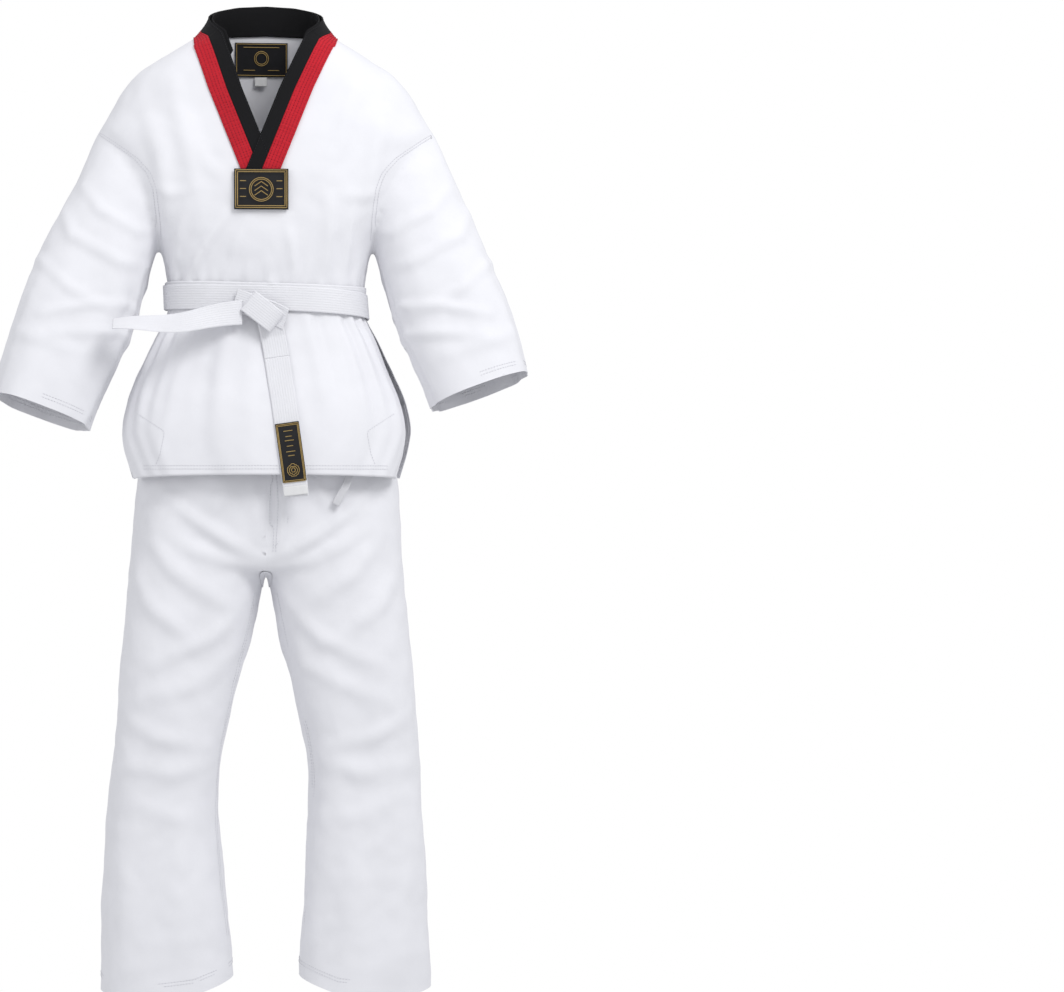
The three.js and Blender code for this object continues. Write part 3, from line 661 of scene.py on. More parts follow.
def sleeve_folds(side):
    def at(*stations):
        return [tuple(sleeve_points(t, math.radians(a), side)) for t, a in stations]
    return [
        (at((30, 40), (60, 80), (70, 120), (50, 160)), 10, 3.4),
        (at((70, 20), (110, 60), (125, 110), (110, 165)), 11, 4.2),
        (at((150, -20), (160, 30), (190, 80), (200, 130)), 10, 3.0),
        (at((185, 190), (180, 140), (205, 95), (240, 60)), 9, 4.0),
        (at((230, 200), (222, 150), (240, 110), (270, 70)), 10, 3.6),
        (at((100, -60), (130, -100), (140, -150), (120, -180)), 12, 4.0),
        (at((180, -40), (200, -90), (195, -140)), 11, 3.4),
        (at((255, -50), (250, -100), (235, -150)), 12, 3.2),
        (at((270, 20), (280, 60), (275, 110)), 11, 2.2),
        (at((20, 0), (80, 12), (150, 6), (230, 10)), 18, 2.0),
        (at((10, 195), (50, 188), (90, 182)), 12, -4.0),
    ]


def settle_jacket(obj):
    co = coordinates(obj)
    split = np.clip(np.abs(co[:, 1]) / 0.03, 0, 1)
    h = np.where(co[:, 1] < 0, ridges(co, FRONT_FOLDS), ridges(co, BACK_FOLDS)) * split
    for side in (1, -1):
        on = np.clip((co[:, 0] * side - 0.15) / 0.05, 0, 1)
        h += ridges(co, sleeve_folds(side)) * on
    level = height_of(co)
    gather = np.clip((1150 - level) / 100, 0, 1) ** 1.6
    around = np.arctan2(co[:, 1] / 0.7, co[:, 0])
    gather = gather * (0.0011 * np.sin(around * 31 + 2 * np.sin(around * 5)) + 0.0007 * np.sin(around * 53))
    beside = np.abs(co[:, 0] * 1000 - CENTRE) - (level - V_BOTTOM) / V_RISE * V_HALF - 24
    calm = np.where(co[:, 1] < 0, np.clip(beside / 40, 0, 1), 1) * np.clip((1462 - level) / 60, 0, 1)
    calm = np.where((level < 1260) | (np.abs(co[:, 0]) > 0.16), 1, calm)
    push(obj, (1.35 * h + soft_wrinkles(co, 5.0, 3)) * calm + gather * 1.5)


# ---- Trousers cloth ----
pants = trouser_union("trousers_shell", VOXEL * 1.1)
relax(pants, 5)


def leg_folds(side):
    def at(*stations):
        return [tuple(leg_points(h, math.radians(a), side)) for h, a in stations]
    front, back = -90, 90
    inner = 180 if side > 0 else 0
    return [
        (at((700, front + 40 * side), (640, front + 10 * side), (590, front - 30 * side)), 15, 4.4),
        (at((650, front + 60 * side), (590, front + 30 * side), (540, front - 5 * side)), 15, 4.0),
        (at((600, front - 55 * side), (540, front - 20 * side), (500, front + 20 * side)), 14, 3.6),
        (at((520, front - 60 * side), (470, front - 10 * side), (440, front + 40 * side)), 16, 3.0),
        (at((430, front + 60 * side), (390, front + 10 * side), (372, front - 45 * side)), 14, 3.4),
        (at((360, front - 60 * side), (335, front - 5 * side), (345, front + 50 * side)), 15, 3.6),
        (at((300, front + 50 * side), (270, front), (262, front - 50 * side)), 17, 2.6),
        (at((250, front - 20 * side), (170, front - 8 * side), (90, front - 14 * side)), 20, 2.6),
        (at((210, front + 38 * side), (140, front + 30 * side), (60, front + 34 * side)), 18, 2.4),
        (at((640, back - 40), (560, back), (480, back + 40)), 18, 4.0),
        (at((500, back + 40), (420, back), (350, back - 30)), 18, 3.6),
        (at((360, back - 50), (320, back), (330, back + 50)), 16, 3.4),
        (at((240, back), (150, back + 5), (60, back - 2)), 22, 2.6),
        (at((640, inner), (560, inner + 6), (480, inner - 6)), 16, 2.4),
    ]


SEAT_FOLDS = folds_on(
    SEAT, -1,
    ([(10, 792), (12, 740), (10, 690), (4, 650)], 7, -3.2),
    ([(26, 800), (30, 750), (24, 700), (10, 664)], 10, 4.0),
    ([(-20, 790), (-14, 740), (-10, 690)], 11, 2.6),
    ([(-8, 664), (-50, 684), (-100, 716), (-150, 760)], 12, 4.4),
    ([(8, 660), (56, 684), (110, 720), (160, 770)], 12, 4.2),
    ([(-10, 650), (-56, 656), (-110, 676), (-160, 706)], 12, 3.4),
    ([(10, 648), (60, 656), (112, 680), (165, 716)], 12, 3.6),
    ([(-60, 800), (-66, 760), (-90, 720)], 12, 2.6),
    ([(74, 800), (84, 760), (108, 724)], 12, 2.8),
) + folds_on(
    SEAT, 1,
    ([(0, 800), (0, 740), (0, 680)], 8, -3.0),
    ([(-10, 670), (-60, 690), (-120, 730)], 14, 4.0), ([(10, 670), (60, 690), (120, 730)], 14, 4.0),
    ([(-20, 640), (-80, 656), (-140, 690)], 13, 3.4), ([(20, 640), (80, 656), (140, 690)], 13, 3.4),
)


def settle_trousers(obj):
    co = coordinates(obj)
    h = ridges(co, SEAT_FOLDS)
    for side in (1, -1):
        h += ridges(co, leg_folds(side)) * np.clip((co[:, 0] * side + 0.004) / 0.008, 0, 1)
    low = np.clip((co[:, 2] + 1.06) / 0.05, 0.35, 1)
    push(obj, (1.45 * h + soft_wrinkles(co, 6.0, 11)) * low)


settle_jacket(shell)
settle_trousers(pants)


# Cuts that must be clean come after the folds.
def hem_height(x):
    """The height of a leg's curved hem at a distance from the middle."""
    return np.interp(x, [40, 70, 110, 178, 230, 262], [22, 10, -4, -11, -6, 1])


def hem_level(p):
    """How far a point hangs below the curved hem."""
    return (hem_height(np.abs(p[:, 0]) * 1000) - height_of(p)) / 1000


def drop(obj):
    bpy.data.objects.remove(obj)


snap_cut(shell, neck_level)
body = part_of(shell, "jacket_shell_cut", lambda c: neck_level(c) <= 0)
drop(shell)
snap_cut(body, seam_level)
snap_cut(body, lambda p: p[:, 1])
note_normals(body)
jacket_pieces = {}
for name, test in (("jacket_front_cloth", lambda c: (seam_level(c) <= 0) & (c[:, 1] < 0)),
                   ("jacket_back_cloth", lambda c: (seam_level(c) <= 0) & (c[:, 1] >= 0)),
                   ("left_sleeve_cloth", lambda c: (seam_level(c) > 0) & (c[:, 0] > 0)),
                   ("right_sleeve_cloth", lambda c: (seam_level(c) > 0) & (c[:, 0] < 0))):
    jacket_pieces[name] = part_of(body, name, test)
drop(body)

snap_cut(pants, lambda p: p[:, 2] - (WAIST_CUT - WAIST_TOP) / 1000)
snap_cut(pants, hem_level)
snap_cut(pants, lambda p: p[:, 0])
note_normals(pants)
leg_pieces = {}
for side, name in ((1, "trousers_left_cloth"), (-1, "trousers_right_cloth")):
    leg_pieces[name] = part_of(pants, name, lambda c: (c[:, 0] * side > 0) & (hem_level(c) <= 0)
                               & (c[:, 2] < (WAIST_CUT - WAIST_TOP) / 1000))
drop(pants)


# ---- Jacket skirt: two panels that hang from the belt, open at the sides ----
def skirt_panel(side):
    """A grid of one panel, from under the belt to the hem, a little wider than its half of the section."""
    cols, rows = 150, 74
    u = np.linspace(0, 1, cols)
    heights = np.linspace(1062, SKIRT_HEM, rows)
    grid = np.zeros((rows, cols, 3))
    for i, h in enumerate(heights):
        open_ = np.clip((1000 - h) / (1000 - SKIRT_HEM), 0, 1)
        corner = np.clip((858 - h) / (858 - SKIRT_HEM), 0, 1)
        start = math.radians(1 + 3.2 * open_ + (17 if side < 0 else 13) * corner)
        angle = (start + (math.pi - 2 * start) * u) * side
        p = on_profile(SKIRT_CLOTH, angle, np.full(cols, h))
        depth = np.clip((1045 - h) / 160, 0, 1)
        pleat = np.clip((1045 - h) / 20, 0, 1) * np.exp(-np.clip(1045 - h, 0, None) / 130)
        ripple = (2.6 * pleat * np.sin(u * 61 + 3 * np.sin(u * 9 + side)) + 1.5 * pleat * np.sin(u * 97 + 1.3)
                  + depth * (3.4 * np.sin(u * 17 + side * 1.1 + 0.6 * open_)
                             + 2.0 * np.sin(u * 29 + 2.2 * side + open_)))
        out = np.stack([np.cos(angle) / 1.4, np.sin(angle), np.zeros(cols)], -1)
        out /= np.linalg.norm(out, axis=1, keepdims=True)
        p += out * ripple[:, None]
        dip = 6 * (np.abs(2 * u - 1) ** 2) - 2
        p[:, 2] -= open_ * dip * (1 if side < 0 else 0.6)
        grid[i] = p
    return grid_object("front_skirt_cloth" if side < 0 else "back_skirt_cloth", metres(grid))


skirts = {side: skirt_panel(side) for side in (-1, 1)}
for side, obj in skirts.items():
    if normals(obj)[:, 1].mean() * side <= 0:
        obj.data.flip_normals()
    co = coordinates(obj)
    lower = np.clip((0.0 - co[:, 2]) / 0.1, 0, 1)
    creases = folds_on(SKIRT, side,
                       ([(-172 * -side, 985), (-182 * -side, 930), (-190 * -side, 870)], 12, 3.0),
                       ([(-116, 1010), (-134, 950), (-150, 880), (-158, 830)], 12, 3.4),
                       ([(-60, 1010), (-70, 940), (-76, 860)], 12, 2.8),
                       ([(70, 1010), (84, 940), (92, 870)], 12, 3.0),
                       ([(120, 1010), (138, 940), (152, 860)], 12, 3.4),
                       ([(-20, 1000), (-24, 930), (-22, 860), (-20, 800)], 13, 2.0))
    push(obj, ridges(co, creases) * lower + soft_wrinkles(co, 3.4, 20 + side) * lower)

for obj in [*jacket_pieces.values(), *leg_pieces.values()]:
    thicken_panel(obj, CLOTH)
for obj in skirts.values():
    thicken(obj, CLOTH)

for side, word in FACES:
    finish_piece(jacket_pieces["jacket_%s_cloth" % word], canvas, "jacket",
                 replaces=["jacket_" + word])
    finish_piece(skirts[side], canvas, blend=SKIRT_BLEND[side], replaces=[word + "_skirt_panel"])
for s, side in HANDS:
    finish_piece(jacket_pieces[side + "_sleeve_cloth"], canvas, blend=SLEEVE_BLEND[s],
                 replaces=[side + "_sleeve"])
    finish_piece(leg_pieces["trousers_" + side + "_cloth"], canvas, blend=LEG_BLEND[s],
                 replaces=["trousers_" + side + "_half", side + "_leg"])


# ---- Surfaces to sew on ----
def tree_of(*objs):
    """A search tree over the surfaces of pieces, in the frame's metres."""
    points, faces = [], []
    for obj in objs:
        base = len(points)
        points += [v.co.copy() for v in obj.data.vertices]
        faces += [[base + k for k in f.vertices] for f in obj.data.polygons]
    return BVHTree.FromPolygons(points, faces)


def lay_on(tree, points, proud, direction=None):
    """Points moved onto a surface and then off it by proud, in metres; direction is where to look from."""
    points = np.asarray(points, float)
    out, normal = np.empty_like(points), np.empty_like(points)
    for k, p in enumerate(points.reshape(-1, 3)):
        hit = None
        if direction is not None:
            look = Vector(direction if np.ndim(direction) == 1 else direction[k]).normalized()
            hit, n, _, _ = tree.ray_cast(Vector(p) + look * 0.08, -look, 0.16)
        if hit is None:
            hit, n, _, _ = tree.find_nearest(Vector(p))
            look = Vector(p) - hit
            if direction is not None:
                look = Vector(direction if np.ndim(direction) == 1 else direction[k])
        if n.dot(look) < 0:
            n = -n
        out.reshape(-1, 3)[k] = hit + n * proud
        normal.reshape(-1, 3)[k] = n
    return out, normal


def resample(points, step):
    points = np.asarray(points, float)
    length = np.concatenate([[0], np.cumsum(np.linalg.norm(np.diff(points, axis=0), axis=1))])
    count = max(2, int(length[-1] / step) + 1)
    s = np.linspace(0, length[-1], count)
    return np.stack([np.interp(s, length, points[:, k]) for k in range(3)], 1)


def stitches(name, lines, tree, look, mat, pitch=0.0046, share=0.66, radius=0.00042,
             body=None, blend=None):
    """Short threads along lines of points, lying on a surface."""
    verts, faces = [], []
    for line in lines:
        path, normal = lay_on(tree, resample(line, pitch), 0.0002, look)
        for a, b, n in zip(path[:-1], path[1:], normal):
            if np.linalg.norm(b - a) > pitch * 2.5 or np.linalg.norm(b - a) < pitch * 0.2:
                continue
            d = b - a
            across = np.cross(d, n)
            across /= np.linalg.norm(across) + 1e-12
            ends = [a + d * (0.5 - share / 2), a + d * 0.5, a + d * (0.5 + share / 2)]
            base = len(verts)
            for end, lift, r in zip(ends, (-0.3, 0.9, -0.3), (0.6, 1.0, 0.6)):
                c = end + n * radius * lift
                verts += [c + across * radius * r, c + n * radius * r, c - across * radius * r]
            for k in (0, 1):
                for i in range(3):
                    j = (i + 1) % 3
                    low = base + 3 * k
                    faces.append((low + i, low + j, low + 3 + j, low + 3 + i))
            faces.append((base, base + 2, base + 1))
            faces.append((base + 6, base + 7, base + 8))
    obj = mesh_object(name, verts, faces)
    return finish_piece(obj, mat, body, blend)


# ---- Collar ----
def band(name, inner, outer, columns, side_proud, mat, replaces, pucker):
    """A band between two collar lines, all round the neck. side_proud gives its height off the jacket at its
    left end, which lies on top, at its right end and behind the neck."""
    rows = []
    for side in (1, -1):
        a = collar_points(inner, -0.02 if side > 0 else 0.0, side)
        b = collar_points(outer, -0.02 if side > 0 else 0.0, side)
        length = np.concatenate([[0], np.cumsum(np.linalg.norm(np.diff((a + b) / 2, axis=0), axis=1))])
        count = int(length[-1] / 1.5)
        s = np.linspace(0, length[-1], count)
        a, b = (np.stack([np.interp(s, length, q[:, k]) for k in range(3)], 1) for q in (a, b))
        across = np.linspace(0, 1, columns)
        t = across[None, :, None]
        grid = a[:, None] * (1 - t) + b[:, None] * t
        out = grid.copy()
        out[..., 2] = 0
        out[..., 0] /= 1.9
        out /= np.linalg.norm(out, axis=2, keepdims=True)
        # back onto the rounded section at each height
        for i in range(grid.shape[0]):
            for j in range(grid.shape[1]):
                x, y, h = grid[i, j]
                row = hermite(JACKET, h)
                r = (abs(x / row[0]) ** BOXINESS + abs(y / row[1]) ** BOXINESS) ** (1 / BOXINESS)
                if r > 0.2:
                    grid[i, j, 1] = y / r if abs(y) > 25 else y
                    grid[i, j, 0] = x / r if abs(y) <= 60 else x
        drop_ = np.clip(1 - s / 190, 0, 1) ** 0.7
        height = side_proud[2] + (side_proud[0 if side > 0 else 1] - side_proud[2]) * drop_
        wave = pucker * (np.sin(s / 5.1 * 2 * math.pi * (1 + 0.05 * np.sin(s / 23))) * 0.6
                         + np.sin(s / 7.7 * 2 * math.pi + 1) * 0.4)
        puffs = np.abs(np.sin(across * math.pi * 4))[None]
        ripple = wave[:, None] * puffs + 0.25 * puffs
        grid = grid + out * (height[:, None, None] + ripple[..., None])
        rows.append(grid)
    both = np.concatenate([rows[0], rows[1][::-1][1:]])
    obj = grid_object(name, metres(both))
    thicken(obj, 0.0016)
    outward(obj)
    finish_piece(obj, mat, "jacket", replaces=replaces)
    return obj, both


black_collar, black_grid = band("collar_inner_band", "E0", "E1", 13, (4.9, 2.8, 2.2), black_cotton,
                                ["collar_black_band"], 0.12)
red_collar, red_grid = band("collar_outer_band", "E1", "E2", 17, (3.9, 2.2, 1.6), red_cotton,
                            ["collar_red_band"], 0.8)


def facing_inside():
    """The collar's inner side behind the neck."""
    a, h = collar_edge("E0", 0.6)
    keep = slice(40, None)
    cols = np.concatenate([a[keep], (math.pi - a[keep])[::-1][1:]])
    tops = np.concatenate([h[keep], h[keep][::-1][1:]])
    grid = np.stack([on_profile(JACKET, cols, tops - d, -2.6 - 0.4 * (d > 5))
                     for d in np.linspace(-0.5, 46, 20)])
    obj = grid_object("collar_inner_facing", metres(grid))
    thicken(obj, 0.0014)
    outward(obj)
    finish_piece(obj, black_cotton, "jacket")


facing_inside()
collar_tree = tree_of(red_collar)
black_tree = tree_of(black_collar)


def look_out(points):
    """Where to look from at points on the collar: level, and mostly from the front or back."""
    d = np.array(points, float)
    d[:, 2] = 0
    d[:, 0] /= 1.9
    return d / np.linalg.norm(d, axis=1, keepdims=True)


red_lines = [metres(red_grid[:, k]) for k in (2, 5, 8, 11, 14)]
for k, line in enumerate(red_lines):
    path = resample(line, 0.004)
    stitches("collar_stitch_row_%d" % (k + 1), [path], collar_tree, look_out(path), thread_red,
             pitch=0.004, radius=0.0005, body="jacket")
edge_path = resample(metres(black_grid[:, 1]), 0.0042)
stitches("collar_edge_stitches", [edge_path], black_tree, look_out(edge_path), thread_black,
         pitch=0.0042, radius=0.0004, body="jacket")


# ---- Belt ----
def strip(name, centres, across, width, thickness, mat, slot, body=None, blend=None, replaces=(), rows=10,
          closed=False):
    """A stitched band along centres (metres), lying along the unit vectors across; its faces are quilted."""
    centres, across = np.asarray(centres, float), np.asarray(across, float)
    across = across / np.linalg.norm(across, axis=1, keepdims=True)
    along = np.roll(centres, -1, 0) - np.roll(centres, 1, 0) if closed else np.gradient(centres, axis=0)
    along /= np.linalg.norm(along, axis=1, keepdims=True)
    out = np.cross(along, across)
    out /= np.linalg.norm(out, axis=1, keepdims=True)
    n = 4 * rows + 1
    t = np.linspace(-0.5, 0.5, n)
    quilt = np.abs(np.sin((t + 0.5) * rows * math.pi)) ** 0.6 - 1
    edge = np.clip((0.5 - np.abs(t)) * 22, 0, 1) ** 0.5
    half = thickness / 2 * edge + 0.00045 * quilt * (edge > 0.99)
    step = np.concatenate([[0], np.cumsum(np.linalg.norm(np.diff(centres, axis=0), axis=1))])
    rib = 0.00012 * np.sin(step / 0.0042 * 2 * math.pi)
    face = [centres[:, None] + across[:, None] * (t * width)[None, :, None]
            + s * out[:, None] * (half[None, :, None] + rib[:, None, None]) for s in (1, -1)]
    grid = np.concatenate([face[0], face[1][:, ::-1]], axis=1)
    rows_, cols = grid.shape[:2]
    faces = [(i * cols + j, i * cols + (j + 1) % cols, ((i + 1) % rows_) * cols + (j + 1) % cols,
              ((i + 1) % rows_) * cols + j)
             for i in range(rows_ if closed else rows_ - 1) for j in range(cols)]
    if not closed:
        faces += [tuple(reversed(range(cols))), tuple((rows_ - 1) * cols + j for j in range(cols))]
    obj = mesh_object(name, grid.reshape(-1, 3), faces)
    outward(obj)
    return finish_piece(obj, mat, body, blend, replaces)


def belt_strip(name, centres, across, **more):
    return strip(name, centres, across, BELT_WIDTH / 1000, BELT_CLOTH, belt_cotton, "belt_white", **more)


def belt_turn(name, height, fall, outset, node_name, wobble):
    """A turn round the waist, lower by fall at the wearer's left."""
    a = np.linspace(0, 2 * math.pi, 420, endpoint=False)
    h = height + fall * np.cos(a) + wobble * np.sin(2 * a + 0.6)
    low, high = (on_profile(JACKET, a, h + d, outset) for d in (-17, 17))
    strip(name, metres((low + high) / 2), metres(high) - metres(low), BELT_WIDTH / 1000, 0.0026,
          belt_cotton, "belt_white", "jacket", replaces=[node_name], closed=True)


belt_turn("belt_inner_turn", 1064, -3, 4.6, "belt_inner_wrap", 1.2)
belt_turn("belt_outer_turn", 1058, -7, 7.9, "belt_outer_wrap", -1.6)


def catmull(points, count):
    """A smooth curve through points."""
    p = np.asarray(points, float)
    p = np.concatenate([2 * p[:1] - p[1:2], p, 2 * p[-1:] - p[-2:-1]])
    t = np.linspace(0, len(p) - 3, count)
    k = np.clip(t.astype(int), 0, len(p) - 4)
    s = (t - k)[:, None]
    a, b, c, d = p[k], p[k + 1], p[k + 2], p[k + 3]
    return 0.5 * (2 * b + (c - a) * s + (2 * a - 5 * b + 4 * c - d) * s**2 + (3 * b - a - 3 * c + d) * s**3)


# The knot: the face band crosses it from upper left to lower right and folds round behind.
turn = math.radians(-38)
knot_centre = np.array([-5.0, -127.0, 1037.0])
dirs = np.array([math.cos(turn), 0, math.sin(turn)])
up = np.array([-math.sin(turn), 0, math.cos(turn)])
KNOT_STEPS, UNDER_STEPS = 150, 50
phi = np.linspace(0, 2 * math.pi, KNOT_STEPS, endpoint=False)
ring = (knot_centre + 27 * power(np.cos(phi))[:, None] * dirs
        + 9.5 * power(np.sin(phi))[:, None] * np.array([0, 1.0, 0]))
strip("belt_knot_face", metres(ring), np.repeat(up[None], KNOT_STEPS, 0), 0.037, BELT_CLOTH, belt_cotton,
      "belt_white", "jacket", replaces=["belt_knot"], closed=True)
under = catmull([(-47, -118, 1056), (-30, -121, 1050), (-8, -124, 1042), (14, -122, 1034), (30, -119, 1026)],
                UNDER_STEPS)
strip("belt_knot_under", metres(under), np.repeat(np.array([[0.30, -0.05, 0.95]]), UNDER_STEPS, 0), 0.034,
      BELT_CLOTH, belt_cotton, "belt_white", "jacket")

skirt_tree = tree_of(skirts[-1])
TAIL_LINE = [(4, 1030), (9, 1010), (14, 985), (20, 945), (27, 900), (34, 850), (41, 800), (46, 757)]
tail_x, tail_h = np.array(TAIL_LINE, float).T
TAIL_ROWS = 130
tail_heights = np.linspace(1024, 757, TAIL_ROWS)
tail_at = np.interp(tail_heights, tail_h[::-1], tail_x[::-1])
depth = []
for x, h in zip(tail_at, tail_heights):
    ys = []
    for dx in (-17, -8, 0, 8, 17):
        p = metres([x + dx, -200, max(h, SKIRT_HEM + 3)])
        hit = skirt_tree.ray_cast(Vector(p), Vector((0, 1, 0)), 0.2)[0]
        ys.append(hit.y if hit else -0.115)
    depth.append(min(ys) - 0.0026)
depth = np.array(depth)
for _ in range(14):
    depth[1:-1] = np.minimum(depth[1:-1], (depth[:-2] + depth[2:]) / 2)
depth = depth - 0.010 * np.clip((tail_heights - 1000) / 24, 0, 1)
tail_centre = np.stack([tail_at / 1000, depth, (tail_heights - WAIST_TOP) / 1000], 1)
lean = np.gradient(tail_at, tail_heights)
tail_across = np.stack([np.ones(TAIL_ROWS), 0.10 * np.clip((tail_heights - 960) / 60, 0, 1), -lean], 1)
TAIL_SPLIT, SHARED = 968, 0.5  # the two pieces share the row at the split
upper, lower = tail_heights > TAIL_SPLIT, tail_heights <= TAIL_SPLIT + SHARED
belt_strip("belt_tail_root", tail_centre[upper], tail_across[upper],
           blend=("jacket", "front_skirt", at_height(0, 0, 1012), at_height(0, 0, 980)))
belt_strip("belt_hanging_tail", tail_centre[lower], tail_across[lower], body="belt_front_tail",
           replaces=["belt_front_tail"])


def patch_on_tail(name, top, bottom, mat, slot, node_name):
    keep = (tail_heights <= top) & (tail_heights >= bottom)
    strip(name, tail_centre[keep] - [0, 0.0022, 0], tail_across[keep], 0.0365, 0.0013, mat, slot,
          body="belt_front_tail", replaces=[node_name], rows=3)


patch_on_tail("belt_woven_label", 869, 778, label_black, "label_black", "belt_label")
patch_on_tail("belt_size_label", 775, 758, label_white, "label_white", "belt_end_label")


def tail_frame(h, dx, proud):
    """A point on the hanging tail's front: dx millimetres across it."""
    k = int(np.argmin(np.abs(tail_heights - h)))
    a = tail_across[k] / np.linalg.norm(tail_across[k])
    return tail_centre[k] + a * dx / 1000 - np.array([0, proud, 0])


def gold_threads(name, lines, radius, body, sides=6):
    """Raised threads along lines of points in metres."""
    verts, faces = [], []
    for line in lines:
        p = np.asarray(line, float)
        d = np.gradient(p, axis=0)
        d /= np.linalg.norm(d, axis=1, keepdims=True) + 1e-12
        side = np.cross(d, [0, 1.0, 0.03])
        side /= np.linalg.norm(side, axis=1, keepdims=True) + 1e-12
        top = np.cross(side, d)
        base, n = len(verts), len(p)
        for i in range(n):
            for k in range(sides):
                q = 2 * math.pi * k / sides
                verts.append(p[i] + radius * (math.cos(q) * side[i] + 0.7 * math.sin(q) * top[i]))
        for i in range(n - 1):
            for k in range(sides):
                m = (k + 1) % sides
                faces.append((base + i * sides + k, base + i * sides + m, base + (i + 1) * sides + m,
                              base + (i + 1) * sides + k))
        faces.append(tuple(base + k for k in range(sides)))
        faces.append(tuple(base + (n - 1) * sides + k for k in reversed(range(sides))))
    finish_piece(mesh_object(name, verts, faces), gold_thread, body)


def past_corners(corners, steps):
    """Points from corner to corner and back to the first."""
    ends = [*corners[1:], corners[0]]
    sides = [np.linspace(a, b, steps, endpoint=False) for a, b in zip(corners, ends)]
    return np.concatenate([*sides, [corners[0]]])


label_lines = []
for inset in (1.6, 3.2):
    w, top, bottom = 18.2 - inset, 868 - inset, 779 + inset
    path = past_corners([(top, -w), (top, w), (bottom, w), (bottom, -w)], 24)
    label_lines.append([tail_frame(h, dx, 0.0031) for h, dx in path])
for k in range(6):
    h0, reach = 856 - 7.5 * k, 7 - (k % 2) * 2
    label_lines.append([tail_frame(h0, dx, 0.0032) for dx in np.linspace(-reach, reach, 10)])
CIRCLE = np.linspace(0, 2 * math.pi, 33)
label_lines += [[tail_frame(797 + r * math.sin(a), r * math.cos(a), 0.0032) for a in CIRCLE]
                for r in (9.0, 6.2, 3.0)]
gold_threads("belt_label_threads", label_lines, 0.00055, "belt_front_tail")

# The side tail starts 1 mm off the knot's edge and twists as it goes out.
SIDE_ROWS = 110
start_x = -5 - math.hypot(31 * math.cos(math.radians(-24)), 24 * math.sin(math.radians(-24))) - 1
t = np.linspace(0, 1, SIDE_ROWS)
side_line = np.stack([start_x - 194 * t, -124.5 - 26 * t - 5 * np.sin(t * math.pi), 1036 - 20 * t
                      - 5 * np.sin(t * math.pi) + 2.0 * np.sin(t * 9)], 1)
roll = np.radians(8 + 58 * t)
side_across = np.stack([np.zeros(SIDE_ROWS), np.sin(roll), np.cos(roll)], 1)
belt_strip("belt_standing_tail", metres(side_line), side_across, body="belt_side_tail",
           replaces=["belt_side_tail"])

# ---- Chest patch and neck label ----
front_tree = tree_of(jacket_pieces["jacket_front_cloth"])
back_tree = tree_of(jacket_pieces["jacket_back_cloth"])
PATCH_X, PATCH_H, PATCH_W, PATCH_T = -7, 1223, 82, 62


def smooth_patch(name, tree, centre_x, centre_h, w, tall, proud, replaces, y0):
    """A stiff patch that follows the cloth under it without its small wrinkles, seen from the front."""
    xs, hs = np.linspace(-w / 2, w / 2, 33), np.linspace(-tall / 2, tall / 2, 25)
    grid = np.zeros((25, 33, 3))
    for i, h in enumerate(hs):
        for j, x in enumerate(xs):
            p = metres([centre_x + x, y0, centre_h + h])
            hit = tree.ray_cast(Vector(p), Vector((0, 1, 0)), 0.2)[0]
            grid[i, j] = hit if hit else (p[0], grid[i, j - 1, 1], p[2])
    y = grid[..., 1].copy()
    X, H = np.meshgrid(xs / 40, hs / 30)
    basis = np.stack([np.ones_like(X), X, H, X * X, X * H, H * H, X**4], -1).reshape(-1, 7)
    c = np.linalg.lstsq(basis, y.ravel(), rcond=None)[0]
    smooth = (basis @ c).reshape(y.shape)
    rise = np.max(smooth - y)
    grid[..., 1] = smooth - (rise + proud)
    obj = grid_object(name, grid)
    thicken(obj, 0.0012)
    outward(obj)
    finish_piece(obj, label_black, "jacket", replaces=replaces)

    def place(x, h):
        """A point in front of the patch, where its threads lie: proud of it as it is of the cloth."""
        row = np.array([1, x / 40, h / 30, (x / 40) ** 2, x * h / 1200, (h / 30) ** 2, (x / 40) ** 4])
        base = metres([centre_x + x, 0, centre_h + h])
        return np.array([base[0], row @ c - (rise + 2 * proud + 0.0009), base[2]])
    return place


on_chest = smooth_patch("chest_badge", front_tree, PATCH_X, PATCH_H, PATCH_W, PATCH_T, 0.0048,
                        ["chest_patch"], -220)


def frame_line(place, w, tall, inset):
    a, b = w / 2 - inset, tall / 2 - inset
    return [place(x, h) for x, h in past_corners([(-a, b), (a, b), (a, -b), (-a, -b)], 22)]


badge = [frame_line(on_chest, PATCH_W, PATCH_T, 2.4), frame_line(on_chest, PATCH_W, PATCH_T, 5.2)]
badge += [[on_chest(r * math.cos(a), -1 + r * math.sin(a)) for a in CIRCLE] for r in (18, 15.5)]
for k in range(3):
    badge.append([on_chest(x, -10 + 7 * k + 7 * (1 - abs(x) / 10)) for x in np.linspace(-10, 10, 21)])
for hand in (-1, 1):
    for k in range(3):
        badge.append([on_chest(hand * x, 12 - 12 * k) for x in np.linspace(23, 32, 8)])
gold_threads("chest_badge_threads", badge, 0.0006, "jacket")

on_label = smooth_patch("neck_woven_label", back_tree, -7, 1443, 82, 52, 0.0012, ["neck_label"], -20)
marks = [frame_line(on_label, 82, 52, 2.2)]
marks += [[on_label(r * math.cos(a), 2 + r * math.sin(a)) for a in CIRCLE] for r in (11, 8.5)]
for h, a, b in ((19, -28, 28), (-16, -28, -10), (-16, 10, 28)):
    marks.append([on_label(x, h) for x in np.linspace(a, b, 20)])
gold_threads("neck_label_threads", marks, 0.0005, "jacket")

